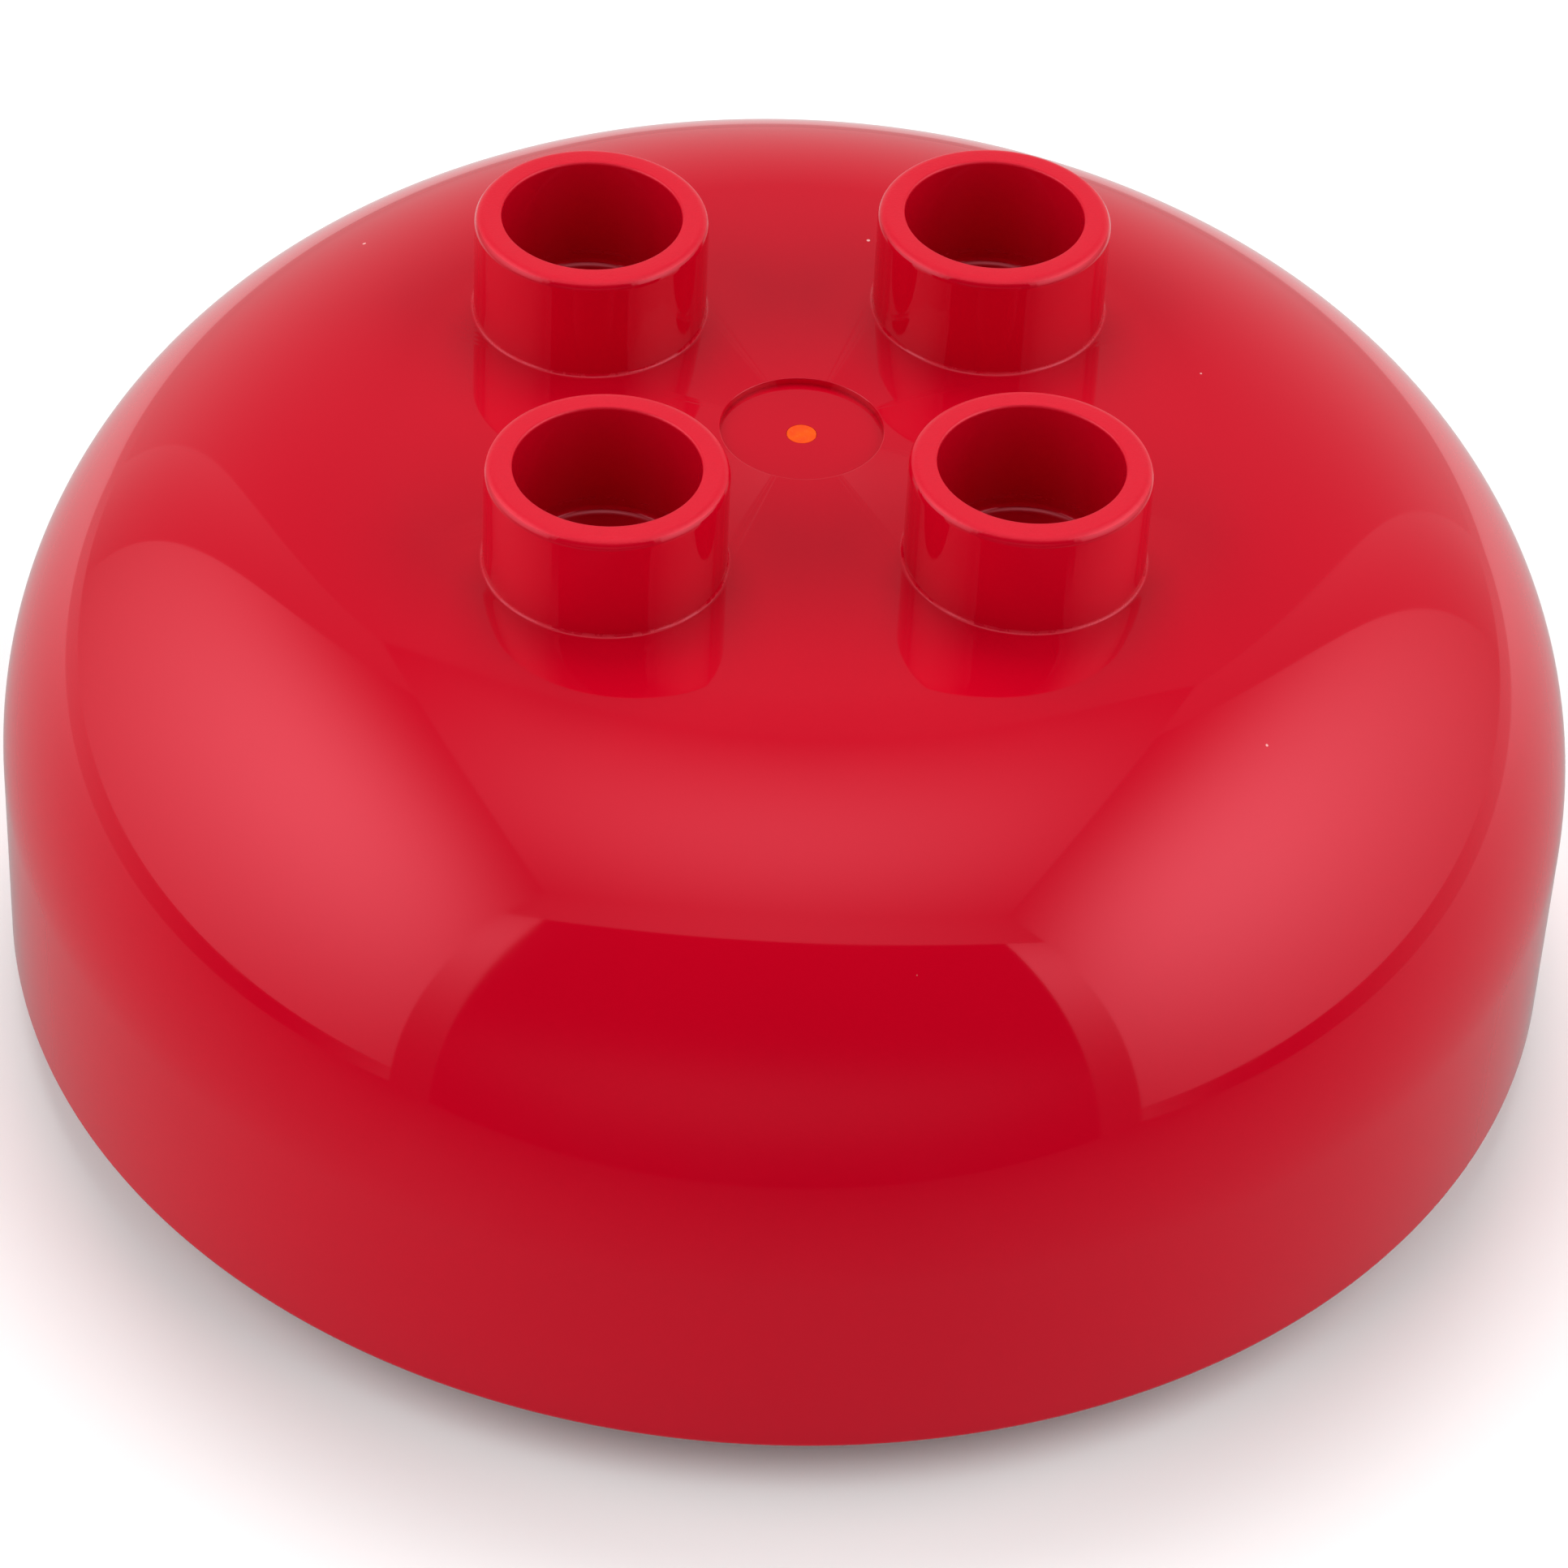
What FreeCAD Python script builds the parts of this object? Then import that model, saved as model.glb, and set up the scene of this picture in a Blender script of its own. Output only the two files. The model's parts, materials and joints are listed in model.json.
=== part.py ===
import FreeCAD, Part
import math
import os
from FreeCAD import Rotation, Vector

# A quiz buzzer for a building-brick play set. One round red shell carries four hollow coupling studs
# and is itself the push button: it slides down over a base that is hidden inside its skirt.
# Millimetres. +Z is up, the origin is on the table under the middle, and the front looks towards -Y.

# ---------------------------------------------------------------- clearances that many parts share
stop_play = 0.05          # left between two faces that are to meet
face_gap = 0.1            # between parts that sit side by side
thread_play = 0.02        # radial, screw in its pilot hole
opening_gap = 0.3         # round a part that stands in an opening
cut_over = 1.0            # how far a cutter runs past the face that it opens

# ---------------------------------------------------------------- button shell
shell_d = 63.2            # outside of the skirt
shell_h = 24.0            # rim to flat top
shell_t = 2.0             # wall
rim_gap = 2.2             # rim above the table at rest
rim_edge_r = 0.3          # rounding of the rim's outer edge
press_travel = 1.6
stud_pitch = 16.0
stud_d = 9.3
stud_h = 4.5
stud_bore_d = 7.15
stud_bore_depth = 5.0
stud_edge_r = 0.4         # rounding of the stud's outer top edge
stud_foot_r = 0.15        # fillet where the stud meets the flat top
flat_margin = 0.05        # flat top past the outermost stud foot
well_d = 6.4              # shallow round recess in the middle of the top
well_depth = 0.3
light_d = 1.2             # visible end of the light pipe
pipe_d = 3.0              # light pipe below the top
pipe_tip_len = 1.3        # its narrow end
pipe_chamfer = 0.3
lamp_gap = 0.3            # lamp to light pipe at full press
collar_t = 1.0            # wall of the collar round the pipe
collar_h = 2.5
rib_t = 1.4               # stop ribs
rib_inner_r = 12.9
pusher_d = 3.2            # boss that works the lever switch
pusher_play = 0.12        # pusher to lever at rest

# ---------------------------------------------------------------- guide posts and springs
post_d = 5.0
post_fit = 0.08           # radial clearance of a post in its sleeve
sleeve_t = 1.12
sleeve_len = 5.6          # below the deck's underside
cup_t = 1.0               # wall of the spring cup
cup_depth = 2.6
spring_mean_d = 6.2
spring_wire_d = 0.5
spring_turns = 5.0
spring_cup_gap = 0.35     # radial, spring to cup
spring_end_gap = 0.05     # spring end to its seat
seat_margin = 0.15        # upper seat past the spring
seat_relief = 0.2         # upper seat below the shell's inside
guide_screw_d = 1.8
guide_screw_head_d = 3.6
guide_screw_head_t = 1.5
guide_screw_len = 6.0
guide_pilot_spare = 1.5   # pilot hole past the screw's tip
washer_d = 7.2
washer_t = 0.8

# ---------------------------------------------------------------- base
foot_stand = 1.0          # base above the table
floor_t = 2.0
base_wall_t = 1.6
base_clearance = 0.45     # base to the shell's inside at full press
base_edge_r = 0.6         # rounding of the base's lower edge
under_board_h = 6.4       # floor to circuit board
board_t = 1.2
over_board_h = 2.4        # circuit board to deck
deck_t = 1.6
lip_t = 0.9               # locating lip under the deck
lip_h = 1.2
base_screw_x = 8.2
base_screw_d = 2.2
base_screw_head_d = 4.0
base_screw_head_t = 1.4
base_screw_len = 8.0
base_screw_web = 1.6      # plastic between the screw's head and the tray boss's end
base_pilot_depth = 7.0
base_boss_d = 5.4
base_boss_h = 2.0
head_gap = 0.2            # radial, screw head in its counterbore
foot_d = 7.2
foot_recess = 0.8
foot_edge_r = 0.3
foot_margin = 0.4         # foot to the base's rounded edge
damper_t = 0.6
damper_w = 4.4
damper_overlap = 0.3      # damper inwards of the ribs' inner ends

# ---------------------------------------------------------------- screws in general
dome_share = 0.35         # dome's height over the head's height
cross_share = 0.6         # cross recess over the head's diameter
cross_width_share = 0.14
cross_depth_share = 0.5   # cross recess over the head's height

# ---------------------------------------------------------------- speaker
speaker_d = 23.0
speaker_flange_t = 0.8
speaker_gasket_t = 0.6
speaker_gasket_w = 1.8
speaker_basket_d = 18.0
speaker_basket_h = 1.2
speaker_sheet_t = 0.5
speaker_vent_d = 1.5
speaker_vent_r = 7.4
speaker_magnet_d = 13.0
speaker_magnet_h = 1.8
speaker_magnet_edge = 0.3
speaker_hub_overlap = 2.0 # basket under the magnet's edge
speaker_pole_d = 2.4
speaker_pole_depth = 0.5
speaker_rim_t = 1.0
speaker_rim_h = 1.6
speaker_mid_gap = 0.4     # speaker's rim to the base's middle line
grille_hole_d = 1.4
grille_pitch = 2.9
grille_rings = 3
cone_t = 0.12
cone_lift = 0.15          # cone above the basket's open face
cone_margin = 0.6         # cone's edge to the basket's wall
tag_len = 6.0             # strip that carries the speaker's two solder points
tag_w = 2.2
tag_t = 0.6
tag_overlap = 1.2         # strip inwards of the basket's edge

# ---------------------------------------------------------------- circuit board and what stands on it
board_sleeve_gap = 0.7    # board's edge to the guide sleeves
board_screw_inset = 2.8
board_screw_d = 2.0
board_screw_head_d = 3.6
board_screw_head_t = 1.1
board_screw_bite = 2.6    # screw past the board
board_screw_tip = 0.6
board_hole_gap = 0.15
board_pilot_spare = 0.8   # pilot hole into the deck's plate
standoff_d = 4.4
lead_d = 0.6
lead_hole_d = 0.9
lead_below = 0.8          # lead under the board
led_d = 3.0
led_flange_d = 3.8
led_flange_t = 1.0
led_h = 5.3
led_lead_pitch = 2.54
led_opening_gap = 0.4     # radial, flange to the opening in the deck
chip_place = (-9.4, 2.6)
chip_len = 4.9
chip_w = 3.9
chip_stand = 0.15
chip_top = 1.6            # above the board
chip_pitch = 1.27
chip_mark_d = 0.7
chip_mark_inset = 0.7
chip_mark_depth = 0.1
leg_t = 0.2
leg_w = 0.4
leg_rise = 0.9            # top of a leg above the board
leg_knee = 0.55           # body's side to the bend
leg_reach = 1.05          # body's side to the toe's end
resistor_places = [(-9.4, -2.2), (-5.4, 6.6), (5.0, 5.0), (8.0, 5.0)]
capacitor_places = [(-13.4, 3.4), (5.0, 7.2), (8.0, 7.2)]
small_len = 1.6           # surface-mounted resistors and capacitors
small_w = 0.8
resistor_h = 0.5
capacitor_h = 0.85
transistor_place = (10.2, 1.0)
transistor_len = 2.9
transistor_w = 1.3
transistor_stand = 0.1
transistor_h = 1.0
transistor_leg_x = 0.95
transistor_leg_reach = 0.55
transistor_leg_t = 0.25
can_d = 4.0               # electrolytic capacitor
can_h = 4.7
can_groove = 0.2
can_neck = 0.8            # groove below the can's sealed end
can_edge = 0.3
can_gap = 0.39            # can to the nearest board screw's head
can_lead_pitch = 2.0
can_lead_above = 0.6

# ---------------------------------------------------------------- lever switch under the shell
switch_len = 12.8
switch_w = 5.8
switch_h = 6.5
switch_led_gap = 1.9
switch_hole_d = 2.0
switch_hole_pitch = 6.5
switch_hole_z = 2.6       # above the board
terminal_inset = 1.6
lever_arm = 9.0           # pivot to the pusher
lever_past = 2.2          # lever past the pusher
lever_heel = 0.2          # lever behind the pivot
lever_w = 3.6
lever_t = 0.3
lever_spare_tilt = 0.01   # radians left at full press
stub_d = 0.68             # the lever's pivot stubs
stub_out = 0.85           # stub past the lever's side
ear_t = 0.7
ear_gap = 0.15            # lever to the pivot ears
ear_len = 1.6
ear_over = 0.7            # ear above the pivot
pivot_hole_d = 0.8
pivot_inset = 1.0
pivot_rise = 0.25         # pivot above the case
pin_arm = 4.0             # pivot to the switch pin
pin_len = 1.3
pin_w = 1.8
pin_sunk = 1.3            # pin inside the case
pin_hole_depth = 2.2
pin_lever_gap = 0.16
pin_edge_r = 0.25

# ---------------------------------------------------------------- power slide switch
slide_len = 8.6
slide_w = 3.8
slide_h = 3.6
slide_travel = 2.0
slide_inset = 5.1         # can to the tray's wall
slide_wall = 0.4
slide_room_h = 1.6
knob_len = 2.0
knob_w = 1.5
knob_sunk = 0.15          # knob inside the base's underside
knob_top = 1.5            # above the tray's floor
knob_slot_gap = 0.2
shoe_side = 0.6           # shoe past the knob
shoe_gap = 0.1
groove_w = 0.24
groove_depth = 0.25
groove_pitch = 0.5
finger_len = 0.6          # finger recess past the knob's slot
finger_w = 0.7
finger_depth = 0.7
rail_t = 1.0
rail_h = 2.0
slide_pin_pitch = 2.5
slide_pin_len = 0.9

# ---------------------------------------------------------------- battery bay
cell_d = 20.0             # 3 V lithium coin cell
cell_t = 3.2
cell_edge = 0.25
cell_step = 0.3           # raised face
cell_face_inset = 1.4
cell_face_slope = 0.2
bay_gap = 0.4             # radial, cell to bay wall
bay_wall_t = 1.2
bay_roof_t = 1.0
bay_head = 0.65           # cell to roof, filled by the contacts
bay_mid_gap = 0.8         # door's recess to the base's middle line
door_t = 1.5
door_lip = 0.6            # door past the bay wall
door_gap = 0.15
door_pad_d = 8.0
door_pad_t = 0.15         # cell above the door
door_screw_d = 2.0
door_screw_head_d = 3.4
door_screw_head_t = 0.8
door_screw_len = 4.2
door_screw_tip = 0.6
door_ear_r = 2.7          # door round each screw
door_ear_x = 6.2
door_ear_y = 12.8
grip_count = 4            # grooves that a fingernail holds the door by
grip_len = 8.0
grip_w = 0.8
grip_pitch = 1.6
grip_start = 3.0
grip_depth = 0.35
insert_d = 3.2
insert_h = 3.4
insert_bore_gap = 0.05
insert_wall = 0.9
insert_cap = 0.6
contact_t = 0.25
contact_roof_gap = 0.05   # leaf under the bay's roof
contact_cell_gap = 0.05   # leaf above the cell
tab_w = 2.4
tab_above = 0.7           # solder tab above the bay's roof
tab_slot_gap = 0.1
negative_tab_inset = 6.5  # tab from the bay's middle
leaf_bend = 1.0           # bend from the bay's middle
leaf_toe = 1.6
nose_gap = 0.03           # rim contact to the cell
nose_low = 1.0            # above the cell's lower face
nose_h = 1.0
strip_lift = 0.3

# ---------------------------------------------------------------- wiring
wire_d = 0.6
wire_lay = 0.05           # wire above the bay's roof
speaker_wire_x = 1.9      # solder points each side of the speaker's middle
speaker_wire_out = (3.4, 2.9)
speaker_wire_rise = 1.5
board_wire_drop = 1.4     # upright stretch under the board
battery_wire_y = 5.6
battery_wire_out = 1.6
battery_wire_climb = 0.2
battery_pad_inset = 4.0
power_wire_rise = 0.9
power_pad_inset = 2.0

# ---------------------------------------------------------------- worked out
shell_r = shell_d / 2
inner_r = shell_r - shell_t
shell_top = rim_gap + shell_h
inner_top = shell_top - shell_t
flat_r = stud_pitch / math.sqrt(2) + stud_d / 2 + stud_foot_r + flat_margin
shoulder_r = shell_r - flat_r
shoulder_z = shell_top - shoulder_r
stud_top = shell_top + stud_h
stud_places = [(sx * stud_pitch / 2, sy * stud_pitch / 2) for sx in (-1, 1) for sy in (-1, 1)]
well_floor = shell_top - well_depth
pipe_step = well_floor - pipe_tip_len

floor_top = foot_stand + floor_t
board_z = floor_top + under_board_h
board_top = board_z + board_t
deck_z = board_top + over_board_h
deck_top = deck_z + deck_t


def shell_inner_r(z):
    """Inside radius of the shell at height z, at rest."""
    rise = max(z - shoulder_z, 0.0)
    return flat_r + math.sqrt((shoulder_r - shell_t) ** 2 - rise ** 2)


def shell_inner_z(r):
    """Height of the shell's inside at radius r, at rest."""
    out = max(r - flat_r, 0.0)
    return shoulder_z + math.sqrt((shoulder_r - shell_t) ** 2 - out ** 2)


base_r = shell_inner_r(deck_z + press_travel) - base_clearance
deck_edge_r = shell_inner_r(deck_top + press_travel) - base_clearance
tray_in_r = base_r - base_wall_t
sleeve_bore_r = post_d / 2 + post_fit
sleeve_r = sleeve_bore_r + sleeve_t
spring_out_r = (spring_mean_d + spring_wire_d) / 2
cup_in_r = spring_out_r + spring_cup_gap
cup_r = cup_in_r + cup_t
post_circle_r = tray_in_r - cup_r - face_gap
post_xy = post_circle_r / math.sqrt(2)
post_places = [(sx * post_xy, sy * post_xy) for sx in (-1, 1) for sy in (-1, 1)]
cup_floor = deck_top - cup_depth
sleeve_end = deck_z - sleeve_len
post_end = sleeve_end - stop_play
spring_seat = shell_inner_z(post_circle_r + spring_out_r) - seat_relief
damper_in_r = rib_inner_r - damper_overlap

board_r = post_circle_r - sleeve_r - board_sleeve_gap
board_screw_r = board_r - board_screw_inset
board_screw_places = [
    (board_screw_r * math.cos(math.radians(a)), board_screw_r * math.sin(math.radians(a)))
    for a in (90, 210, 330)
]
can_place = (0.0, board_screw_r - (board_screw_head_d + can_d) / 2 - can_gap)
base_screw_circle_r = tray_in_r - base_boss_d / 2 - face_gap
base_screw_y = math.sqrt(base_screw_circle_r ** 2 - base_screw_x ** 2)
base_screw_places = [(sx * base_screw_x, sy * base_screw_y) for sx in (-1, 1) for sy in (-1, 1)]
tray_boss_end = floor_top + base_boss_h - stop_play
base_screw_seat = tray_boss_end - base_screw_web
foot_xy = (base_r - foot_d / 2 - base_edge_r - foot_margin) / math.sqrt(2)
foot_places = [(sx * foot_xy, sy * foot_xy) for sx in (-1, 1) for sy in (-1, 1)]

speaker_seat_r = speaker_d / 2 + face_gap
speaker_rim_r = speaker_seat_r + speaker_rim_t
speaker_x = -(speaker_rim_r + speaker_mid_gap)
speaker_z = floor_top + speaker_gasket_t
basket_z = speaker_z + speaker_flange_t
magnet_z = basket_z + speaker_basket_h
tag_y = speaker_basket_d / 2 - tag_overlap
solder_y = tag_y + tag_w / 2

bay_r = cell_d / 2 + bay_gap
bay_wall_r = bay_r + bay_wall_t
door_recess_r = bay_wall_r + door_lip
bay_x = door_recess_r + bay_mid_gap
door_top = foot_stand + door_t
recess_top = door_top + door_gap
cell_z = recess_top + door_pad_t
cell_top = cell_z + cell_t
bay_roof = cell_top + bay_head
bay_roof_top = bay_roof + bay_roof_t
door_ear_places = [(door_ear_x, -door_ear_y), (door_ear_x, door_ear_y)]
negative_tab_x = bay_x - negative_tab_inset
positive_tab_x = bay_x + bay_r - contact_t / 2

led_top = board_top + led_h
pipe_end = led_top + press_travel + lamp_gap
lead_end = board_z - lead_below
switch_y = -(led_flange_d / 2 + switch_led_gap + switch_w / 2)
switch_top = board_top + switch_h
terminal_xs = [terminal_inset - switch_len / 2, 0.0, switch_len / 2 - terminal_inset]
pivot_x = pivot_inset - switch_len / 2
pivot_z = switch_top + pivot_rise
lever_tilt = press_travel / lever_arm + lever_spare_tilt
pusher_x = pivot_x + lever_arm
pin_x = pivot_x + pin_arm
slide_y = -(tray_in_r - slide_w / 2 - slide_inset)
slide_top = floor_top + slide_h
slide_half = (knob_len + slide_travel) / 2 + opening_gap
bend_radii = []


# ---------------------------------------------------------------- helpers
def cyl(r, z0, z1, x=0.0, y=0.0):
    return Part.makeCylinder(r, z1 - z0, Vector(x, y, z0))


def tube(r_out, r_in, z0, z1, x=0.0, y=0.0):
    return cyl(r_out, z0, z1, x, y).cut(cyl(r_in, z0, z1, x, y))


def block(x0, x1, y0, y1, z0, z1):
    return Part.makeBox(x1 - x0, y1 - y0, z1 - z0, Vector(x0, y0, z0))


def line(a, b):
    return Part.LineSegment(Vector(a[0], 0, a[1]), Vector(b[0], 0, b[1])).toShape()


def arc(centre, r, a0, a1):
    """Arc in the XZ plane, from angle a0 to a1 in degrees."""
    points = [
        Vector(centre[0] + r * math.cos(math.radians(a)), 0, centre[1] + r * math.sin(math.radians(a)))
        for a in (a0, (a0 + a1) / 2, a1)
    ]
    return Part.Arc(*points).toShape()


def turned(edges):
    """Solid of revolution about Z from a closed outline in the XZ plane."""
    wire = Part.Wire(Part.__sortEdges__(edges))
    return Part.Face(wire).revolve(Vector(0, 0, 0), Vector(0, 0, 1), 360)


def turned_outline(points):
    """Solid of revolution from (radius, z) corners."""
    closed = points + points[:1]
    return turned([line(a, b) for a, b in zip(closed, closed[1:])])


def joined(first, others):
    """One solid from a shape and the shapes fused to it."""
    shape = first.fuse(list(others)).removeSplitter()
    return shape.Solids[0] if len(shape.Solids) == 1 else shape


def less(shape, cutters):
    return shape.cut(Part.makeCompound(list(cutters)))


def group(shapes):
    return Part.makeCompound(list(shapes))


def moved(shape, x=0.0, y=0.0, z=0.0):
    copy = shape.copy()
    copy.translate(Vector(x, y, z))
    return copy


def pan_screw(head_d, head_t, shank_d, length, tip=1.0):
    """Screw standing head down at z 0, with a cross recess in its head and a blunt tip."""
    dome = head_t * dome_share
    head = turned_outline([
        (0, 0), (head_d / 2 - dome, 0), (head_d / 2, dome), (head_d / 2, head_t), (0, head_t)
    ])
    shank = turned_outline([
        (0, head_t), (shank_d / 2, head_t), (shank_d / 2, head_t + length - tip),
        (shank_d / 4, head_t + length), (0, head_t + length)
    ])
    half = head_d * cross_share / 2
    side = head_d * cross_width_share / 2
    deep = head_t * cross_depth_share
    cross = [block(-half, half, -side, side, -cut_over, deep),
             block(-side, side, -half, half, -cut_over, deep)]
    return less(joined(head, [shank]), cross)


def wire_run(points, diameter=wire_d):
    """Wire along straight runs joined by tangent arcs, each as large as its two runs allow."""
    corners = [Vector(*p) for p in points]
    edges = []
    start = corners[0]
    for before, corner, after in zip(corners, corners[1:], corners[2:]):
        into = (corner - before)
        out = (after - corner)
        turn = into.getAngle(out)
        set_back = 0.45 * min(into.Length, out.Length)
        radius = set_back / math.tan(turn / 2)
        into.normalize()
        out.normalize()
        first = corner - into * set_back
        last = corner + out * set_back
        inward = (out - into).normalize()
        centre = corner + inward * (radius / math.cos(turn / 2))
        middle = centre - inward * radius
        edges.append(Part.LineSegment(start, first).toShape())
        edges.append(Part.Arc(first, middle, last).toShape())
        start = last
        bend_radii.append(round(radius, 2))
    edges.append(Part.LineSegment(start, corners[-1]).toShape())
    path = Part.Wire(edges)
    heading = (corners[1] - corners[0]).normalize()
    ring = Part.Wire(Part.Circle(corners[0], heading, diameter / 2).toShape())
    run = path.makePipeShell([ring], True, False)
    wanted = math.pi * (diameter / 2) ** 2 * path.Length
    print("wire", round(path.Length, 1), "mm, volume over section times length",
          round(run.Volume / wanted, 4))
    return run


# ---------------------------------------------------------------- button
def outer_form(inset):
    """The shell's outer form, drawn in by inset, as a solid down to the rim."""
    r = shell_r - inset
    top = shell_top - inset
    arc_r = shoulder_r - inset
    edges = [
        line((0, top), (flat_r, top)),
        arc((flat_r, shoulder_z), arc_r, 90, 0),
        line((r, shoulder_z), (r, rim_gap)),
        line((r, rim_gap), (0, rim_gap)),
        line((0, rim_gap), (0, top)),
    ]
    return turned(edges)


def shell_wall():
    """The bare shell, with a rounded outer rim edge."""
    edges = [
        line((0, shell_top), (flat_r, shell_top)),
        arc((flat_r, shoulder_z), shoulder_r, 90, 0),
        line((shell_r, shoulder_z), (shell_r, rim_gap + rim_edge_r)),
        arc((shell_r - rim_edge_r, rim_gap + rim_edge_r), rim_edge_r, 0, -90),
        line((shell_r - rim_edge_r, rim_gap), (inner_r, rim_gap)),
        line((inner_r, rim_gap), (inner_r, shoulder_z)),
        arc((flat_r, shoulder_z), shoulder_r - shell_t, 0, 90),
        line((flat_r, inner_top), (0, inner_top)),
        line((0, inner_top), (0, shell_top)),
    ]
    return turned(edges)


def coupling_stud(x, y):
    """One hollow stud, sunk half way into the top, with a rounded outer edge and a filleted foot."""
    r = stud_d / 2
    sunk = shell_top - shell_t / 2
    foot = r + stud_foot_r
    edges = [
        line((0, sunk), (foot, sunk)),
        line((foot, sunk), (foot, shell_top)),
        arc((foot, shell_top + stud_foot_r), stud_foot_r, 270, 180),
        line((r, shell_top + stud_foot_r), (r, stud_top - stud_edge_r)),
        arc((r - stud_edge_r, stud_top - stud_edge_r), stud_edge_r, 0, 90),
        line((r - stud_edge_r, stud_top), (0, stud_top)),
        line((0, stud_top), (0, sunk)),
    ]
    return moved(turned(edges), x, y)


def guide_post(x, y, core):
    """Post with a wider root, whose flat end is the spring's upper seat."""
    post = cyl(post_d / 2, post_end, inner_top, x, y)
    root = cyl(spring_out_r + seat_margin, spring_seat, inner_top, x, y)
    return joined(post, [root]).common(core)


def stop_rib(angle, core):
    """Radial rib whose lower edge meets the damper ring at full press."""
    bottom = deck_top + damper_t + press_travel + stop_play
    rib = block(rib_inner_r, shell_r, -rib_t / 2, rib_t / 2, bottom, shell_top)
    rib.rotate(Vector(0, 0, 0), Vector(0, 0, 1), angle)
    return rib.common(core)


def lever_surface(arm):
    """Height of the lever's upper face at that distance from its pivot, at rest."""
    return pivot_z + arm * math.tan(lever_tilt) + lever_t / 2 / math.cos(lever_tilt)


def switch_pusher():
    """Boss that presses the switch lever, with a ball end."""
    r = pusher_d / 2
    tip = lever_surface(lever_arm) + pusher_play
    ball = Part.makeSphere(r, Vector(pusher_x, switch_y, tip + r))
    return joined(cyl(r, tip + r, inner_top + shell_t / 2, pusher_x, switch_y), [ball])


def button_shell():
    core = outer_form(shell_t / 2)
    pieces = [coupling_stud(x, y) for x, y in stud_places]
    pieces += [guide_post(x, y, core) for x, y in post_places]
    pieces += [stop_rib(a, core) for a in (0, 90, 180, 270)]
    pieces.append(cyl(pipe_d / 2 + collar_t, inner_top - collar_h, inner_top + shell_t / 4))
    pieces.append(switch_pusher())
    shell = joined(shell_wall(), pieces)
    cutters = [cyl(stud_bore_d / 2, stud_top - stud_bore_depth, stud_top + cut_over, x, y)
               for x, y in stud_places]
    cutters += [cyl(guide_screw_d / 2 + thread_play, post_end - cut_over,
                    post_end + guide_screw_len + guide_pilot_spare, x, y) for x, y in post_places]
    cutters.append(cyl(well_d / 2, well_floor, shell_top + cut_over))
    cutters.append(cyl(light_d / 2, inner_top - cut_over, shell_top))
    cutters.append(cyl(pipe_d / 2, inner_top - collar_h - cut_over, pipe_step))
    return less(shell, cutters)


def light_pipe():
    """Clear amber pipe: a narrow end flush with the well floor, and a wider body down to the lamp."""
    r = pipe_d / 2 - thread_play
    step = pipe_step - thread_play
    tip = light_d / 2 - thread_play
    return turned_outline([
        (0, pipe_end), (r - pipe_chamfer, pipe_end), (r, pipe_end + pipe_chamfer), (r, step), (tip, step),
        (tip, well_floor), (0, well_floor)
    ])


def guide_screws():
    screw = pan_screw(guide_screw_head_d, guide_screw_head_t, guide_screw_d, guide_screw_len + washer_t)
    drop = post_end - washer_t - guide_screw_head_t
    return group(moved(screw, x, y, drop) for x, y in post_places)


def guide_washers():
    hole = guide_screw_d / 2 + face_gap
    return group(tube(washer_d / 2, hole, post_end - washer_t, post_end, x, y) for x, y in post_places)


def return_spring(x, y):
    """Round-wire compression spring from cup floor to post root, built a third of a turn at a time."""
    low = cup_floor + spring_end_gap + spring_wire_d / 2
    high = spring_seat - spring_end_gap - spring_wire_d / 2
    stretches = round(spring_turns * 3)
    pitch = (high - low) / stretches * 3
    helix = Part.makeHelix(pitch, pitch / 3, spring_mean_d / 2)
    slope = math.atan2(pitch, math.pi * spring_mean_d)
    start = Vector(spring_mean_d / 2, 0, 0)
    heading = Vector(0, math.cos(slope), math.sin(slope))
    ring = Part.Wire(Part.Circle(start, heading, spring_wire_d / 2).toShape())
    stretch = Part.Wire(helix.Edges).makePipeShell([ring], True, True)
    by_area = sorted(stretch.Faces, key=lambda face: face.Area)
    ends = sorted(by_area[:2], key=lambda face: face.CenterOfMass.z)
    skin = by_area[2]
    faces = [stepped(skin, k, pitch) for k in range(stretches)]
    faces.append(ends[0])
    faces.append(stepped(ends[1], stretches - 1, pitch))
    shell = Part.Shell(faces)
    shell.sewShape()
    return moved(Part.Solid(shell), x, y, low)


def stepped(face, k, pitch):
    """Copy of a face, k thirds of a turn further up the helix."""
    copy = face.copy()
    copy.rotate(Vector(0, 0, 0), Vector(0, 0, 1), 120 * k)
    copy.translate(Vector(0, 0, pitch / 3 * k))
    return copy


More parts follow.
